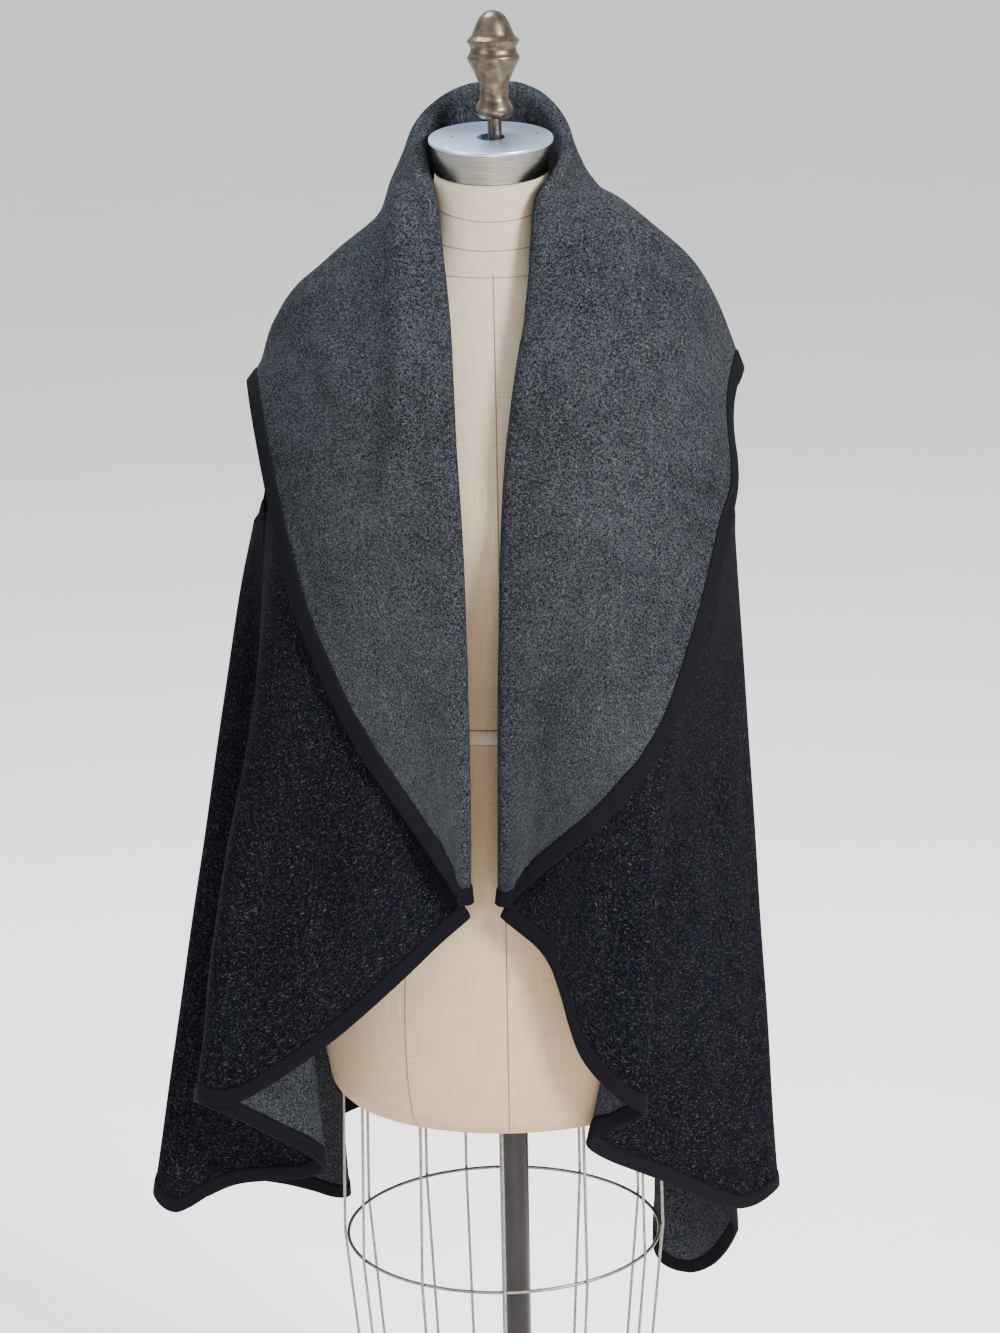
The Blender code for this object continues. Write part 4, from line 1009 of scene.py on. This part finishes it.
def add_form(canvas, seam, tape, steel, band, brass, black, iron, wire):
    """The dress form: canvas torso with its seams, cap, finial, pole, base and cage."""
    levels = [row[0] for row in TORSO_SECTIONS]
    heights = np.interp(np.arange(4 * len(levels) - 3) / 4, np.arange(len(levels)), levels)
    points = [torso_point(angle, z) for z in heights for angle in angles(TORSO_ROUND, 1)]
    uv = [(0.14 * angle, z) for z in heights for angle in angles(TORSO_ROUND, 1)]
    faces = grid_faces(len(heights), TORSO_ROUND + 1)
    top = (len(heights) - 1) * (TORSO_ROUND + 1)
    faces.append(tuple(range(TORSO_ROUND))[::-1])
    faces.append(tuple(range(top, top + TORSO_ROUND)))
    torso = new_object("canvas_torso", points, faces, uv, [canvas])
    stand_for(torso, "torso")
    trims = []
    for name, degrees in SEAM_ANGLES.items():
        path = [torso_point(radians(degrees), z) for z in np.linspace(*SEAM_HEIGHTS, 90)]
        trims.append(tube("seam_" + name, path, SEAM_THREAD, False, seam))
    for name, z in NECK_SEAMS.items():
        path = [torso_point(angle, z + NECK_SEAM_DIP * sin(angle)) for angle in angles(ROUND)]
        trims.append(tube("seam_" + name, path, FINE_THREAD, True, seam))
    for k, step in enumerate((-TAPE_HALF, TAPE_HALF)):
        path = [torso_point(angle, WAIST + step, FINE_THREAD) for angle in angles(ROUND)]
        trims.append(tube("waist_tape_edge_%d" % k, path, FINE_THREAD, True, seam))
    ring = [torso_point(angle, WAIST + step, out) for step, out in TAPE_LEVELS for angle in angles(ROUND, 1)]
    uv = [(0.13 * angle, step) for step, out in TAPE_LEVELS for angle in angles(ROUND, 1)]
    trims.append(new_object("waist_tape", ring, grid_faces(len(TAPE_LEVELS), ROUND + 1), uv, [tape]))
    for item in trims:
        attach(item, "root")
    top, hole, rim = CAP_HEIGHT, CAP_HOLE_RADIUS, CAP_RADIUS
    cap_profile = [(0.0, top - CAP_HOLE_DEPTH), (hole, top - CAP_HOLE_DEPTH), (hole, top - 0.0003),
                   (hole + 0.0003, top), (rim - 0.0012, top), (rim - 0.0003, top - 0.0003),
                   (rim, top - 0.001), (rim, top - 0.0026), (rim - 0.0013, top - 0.003),
                   (rim - 0.0015, top - 0.004), (NECK_TOP_RADIUS, 0.0), (0.0, 0.0)]
    cap = turned("cap", cap_profile, CAP_ROUND, [steel])
    cap.data.materials.append(band)
    for face in cap.data.polygons:
        if face.center.z < top - 0.0028 and face.center.xy.length > hole + 0.002:
            face.material_index = 1
    cap.location = (BODY_X, 0.0, NECK_TOP)
    cap.rotation_euler = (CAP_TILT, 0.0, 0.0)
    stand_for(cap, "neck_cap")
    for k, (x, y) in enumerate(CAP_PINS):
        pin = turned("cap_pin_%d" % k, rod(PIN_RADIUS, top + 0.0002, top - 0.001), 16, [black])
        pin.location = cap.location + Matrix.Rotation(CAP_TILT, 3, "X") @ Vector((x, y, 0))
        pin.rotation_euler = (CAP_TILT, 0.0, 0.0)
        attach(pin, "root")
    floor = NECK_TOP + (CAP_HEIGHT - CAP_HOLE_DEPTH) / cos(CAP_TILT)
    low = floor + SPINDLE_RADIUS * tan(CAP_TILT) + TOUCH_GAP
    profile = [(radius * MM, FINIAL_FOOT + height * MM) for radius, height in FINIAL_PROFILE]
    profile += [(SPINDLE_RADIUS, FINIAL_FOOT), (SPINDLE_RADIUS, low), (0.0, low)]
    finial = turned("finial_knob", rounded(profile, 0.0012), ROUND, [brass])
    stand_for(finial, "finial")
    shaft = rod(POLE_RADIUS, levels[0] - TOUCH_GAP, HUB_TOP + TOUCH_GAP)
    pole = turned("pole_tube", shaft, 64, [black])
    stand_for(pole, "pole")
    hub, rim, deck = HUB_RADIUS, BASE_RADIUS, BASE_HEIGHT
    base = [(0.0, HUB_TOP), (hub - 0.012, HUB_TOP), (hub - 0.008, HUB_TOP - 0.004), (hub, deck + 0.016),
            (hub + 0.016, deck + 0.005), (rim - 0.03, deck - 0.003), (rim - 0.004, deck - 0.01),
            (rim, deck - 0.015), (rim, 0.002), (rim - 0.002, 0.0), (0.0, 0.0)]
    foot = turned("base_plate", rounded(base, 0.003), CAP_ROUND, [iron])
    stand_for(foot, "base")
    side_step = WIRE_RADIUS + HOOP_RADIUS + TOUCH_GAP
    for name, level in (("cage_hoop", CAGE_HOOP), ("cage_foot_hoop", CAGE_FOOT)):
        ring = [cage_point(level, angle, 0.0) for angle in angles(ROUND)]
        item = tube(name + "_wire", ring, HOOP_RADIUS, True, wire)
        stand_for(item, name)
    below = CAGE_FOOT[0] - HOOP_RADIUS
    for number, degrees in enumerate(WIRE_ANGLES, 1):
        angle = radians(degrees)
        foot_end = cage_point(CAGE_FOOT, angle, side_step)
        path = [cage_point(CAGE_TOP, angle, 0.0), cage_point(CAGE_HOOP, angle, side_step), foot_end,
                (*foot_end[:2], below)]
        item = tube("wire_%02d" % number, path, WIRE_RADIUS, False, wire)
        stand_for(item, "cage_wire_%02d" % number)


def add_stage():
    """A wide pale floor, soft area lights and a white surround."""
    floor = Nodes("floor", 0.95, 0.1)
    grain = floor.noise(floor.place((1, 1, 1), "Object"), 3.0, 3.0)
    floor.colour(floor.mix(grain, (0.93, 0.93, 0.93), (0.97, 0.97, 0.97)))
    corners = [(x * FLOOR_REACH, y * FLOOR_REACH, 0) for x, y in ((-1, -1), (1, -1), (1, 1), (-1, 1))]
    new_object("floor", corners, [(0, 1, 2, 3)], None, [floor.material])
    for name, place, size, power, colour in LIGHTS:
        data = bpy.data.lights.new(name, "AREA")
        data.size = size
        data.energy = power
        data.color = colour
        lamp = linked(name, data)
        lamp.location = place
        lamp.rotation_euler = (Vector((0, 0, 1.0)) - Vector(place)).to_track_quat("-Z", "Y").to_euler()
    world = bpy.data.worlds.new("studio")
    world.use_nodes = True
    surround = world.node_tree.nodes["Background"]
    surround.inputs["Color"].default_value = (1.0, 1.0, 1.0, 1.0)
    surround.inputs["Strength"].default_value = 1.0
    bpy.context.scene.world = world


def add_camera():
    """The camera at the photo's place, tipped down and turned a little."""
    data = bpy.data.cameras.new("camera")
    data.sensor_fit = "VERTICAL"
    data.sensor_height = SENSOR
    data.lens = LENS
    turn = Matrix.Rotation(pi / 2 - PITCH, 4, "X") @ Matrix.Rotation(-ROLL, 4, "Z")
    camera = linked("camera", data)
    camera.matrix_world = Matrix.Translation(EYE) @ turn
    bpy.context.scene.camera = camera


add_camera()
add_stage()
dark_face = wool("wool outside", (0.0002, 0.0003, 0.001), (0.0006, 0.0008, 0.0022), (0.0048, 0.0054, 0.0086),
                 (0.036, 0.036, 0.038), 0.0, 0.632)
grey_face = wool("wool inside", (0.0011, 0.0015, 0.0023), (0.0063, 0.0078, 0.0103), (0.0345, 0.0382, 0.045),
                 (0.085, 0.088, 0.092), 0.006, 0.672)
braid = binding_look("binding", (0.0012, 0.0014, 0.003), (0.0058, 0.006, 0.0084))
# Canvas looks: pale colour, tint for the mottling and for the painted warm light lower down, weave colour
linen = canvas_look("canvas", (0.4, 0.355, 0.285), (1.02, 0.87, 0.71), (0.305, 0.262, 0.2))
cotton_tape = canvas_look("tape", (0.45, 0.42, 0.37), (0.96, 0.93, 0.88), (0.37, 0.34, 0.29))
seam_line = canvas_look("seam", (0.17, 0.145, 0.11), (0.93, 0.86, 0.76), (0.13, 0.11, 0.08))
metals = [metal_look(name, *values) for name, values in METALS.items()]

vest = add_vest([dark_face, grey_face], braid)
add_form(linen, seam_line, cotton_tape, *metals)
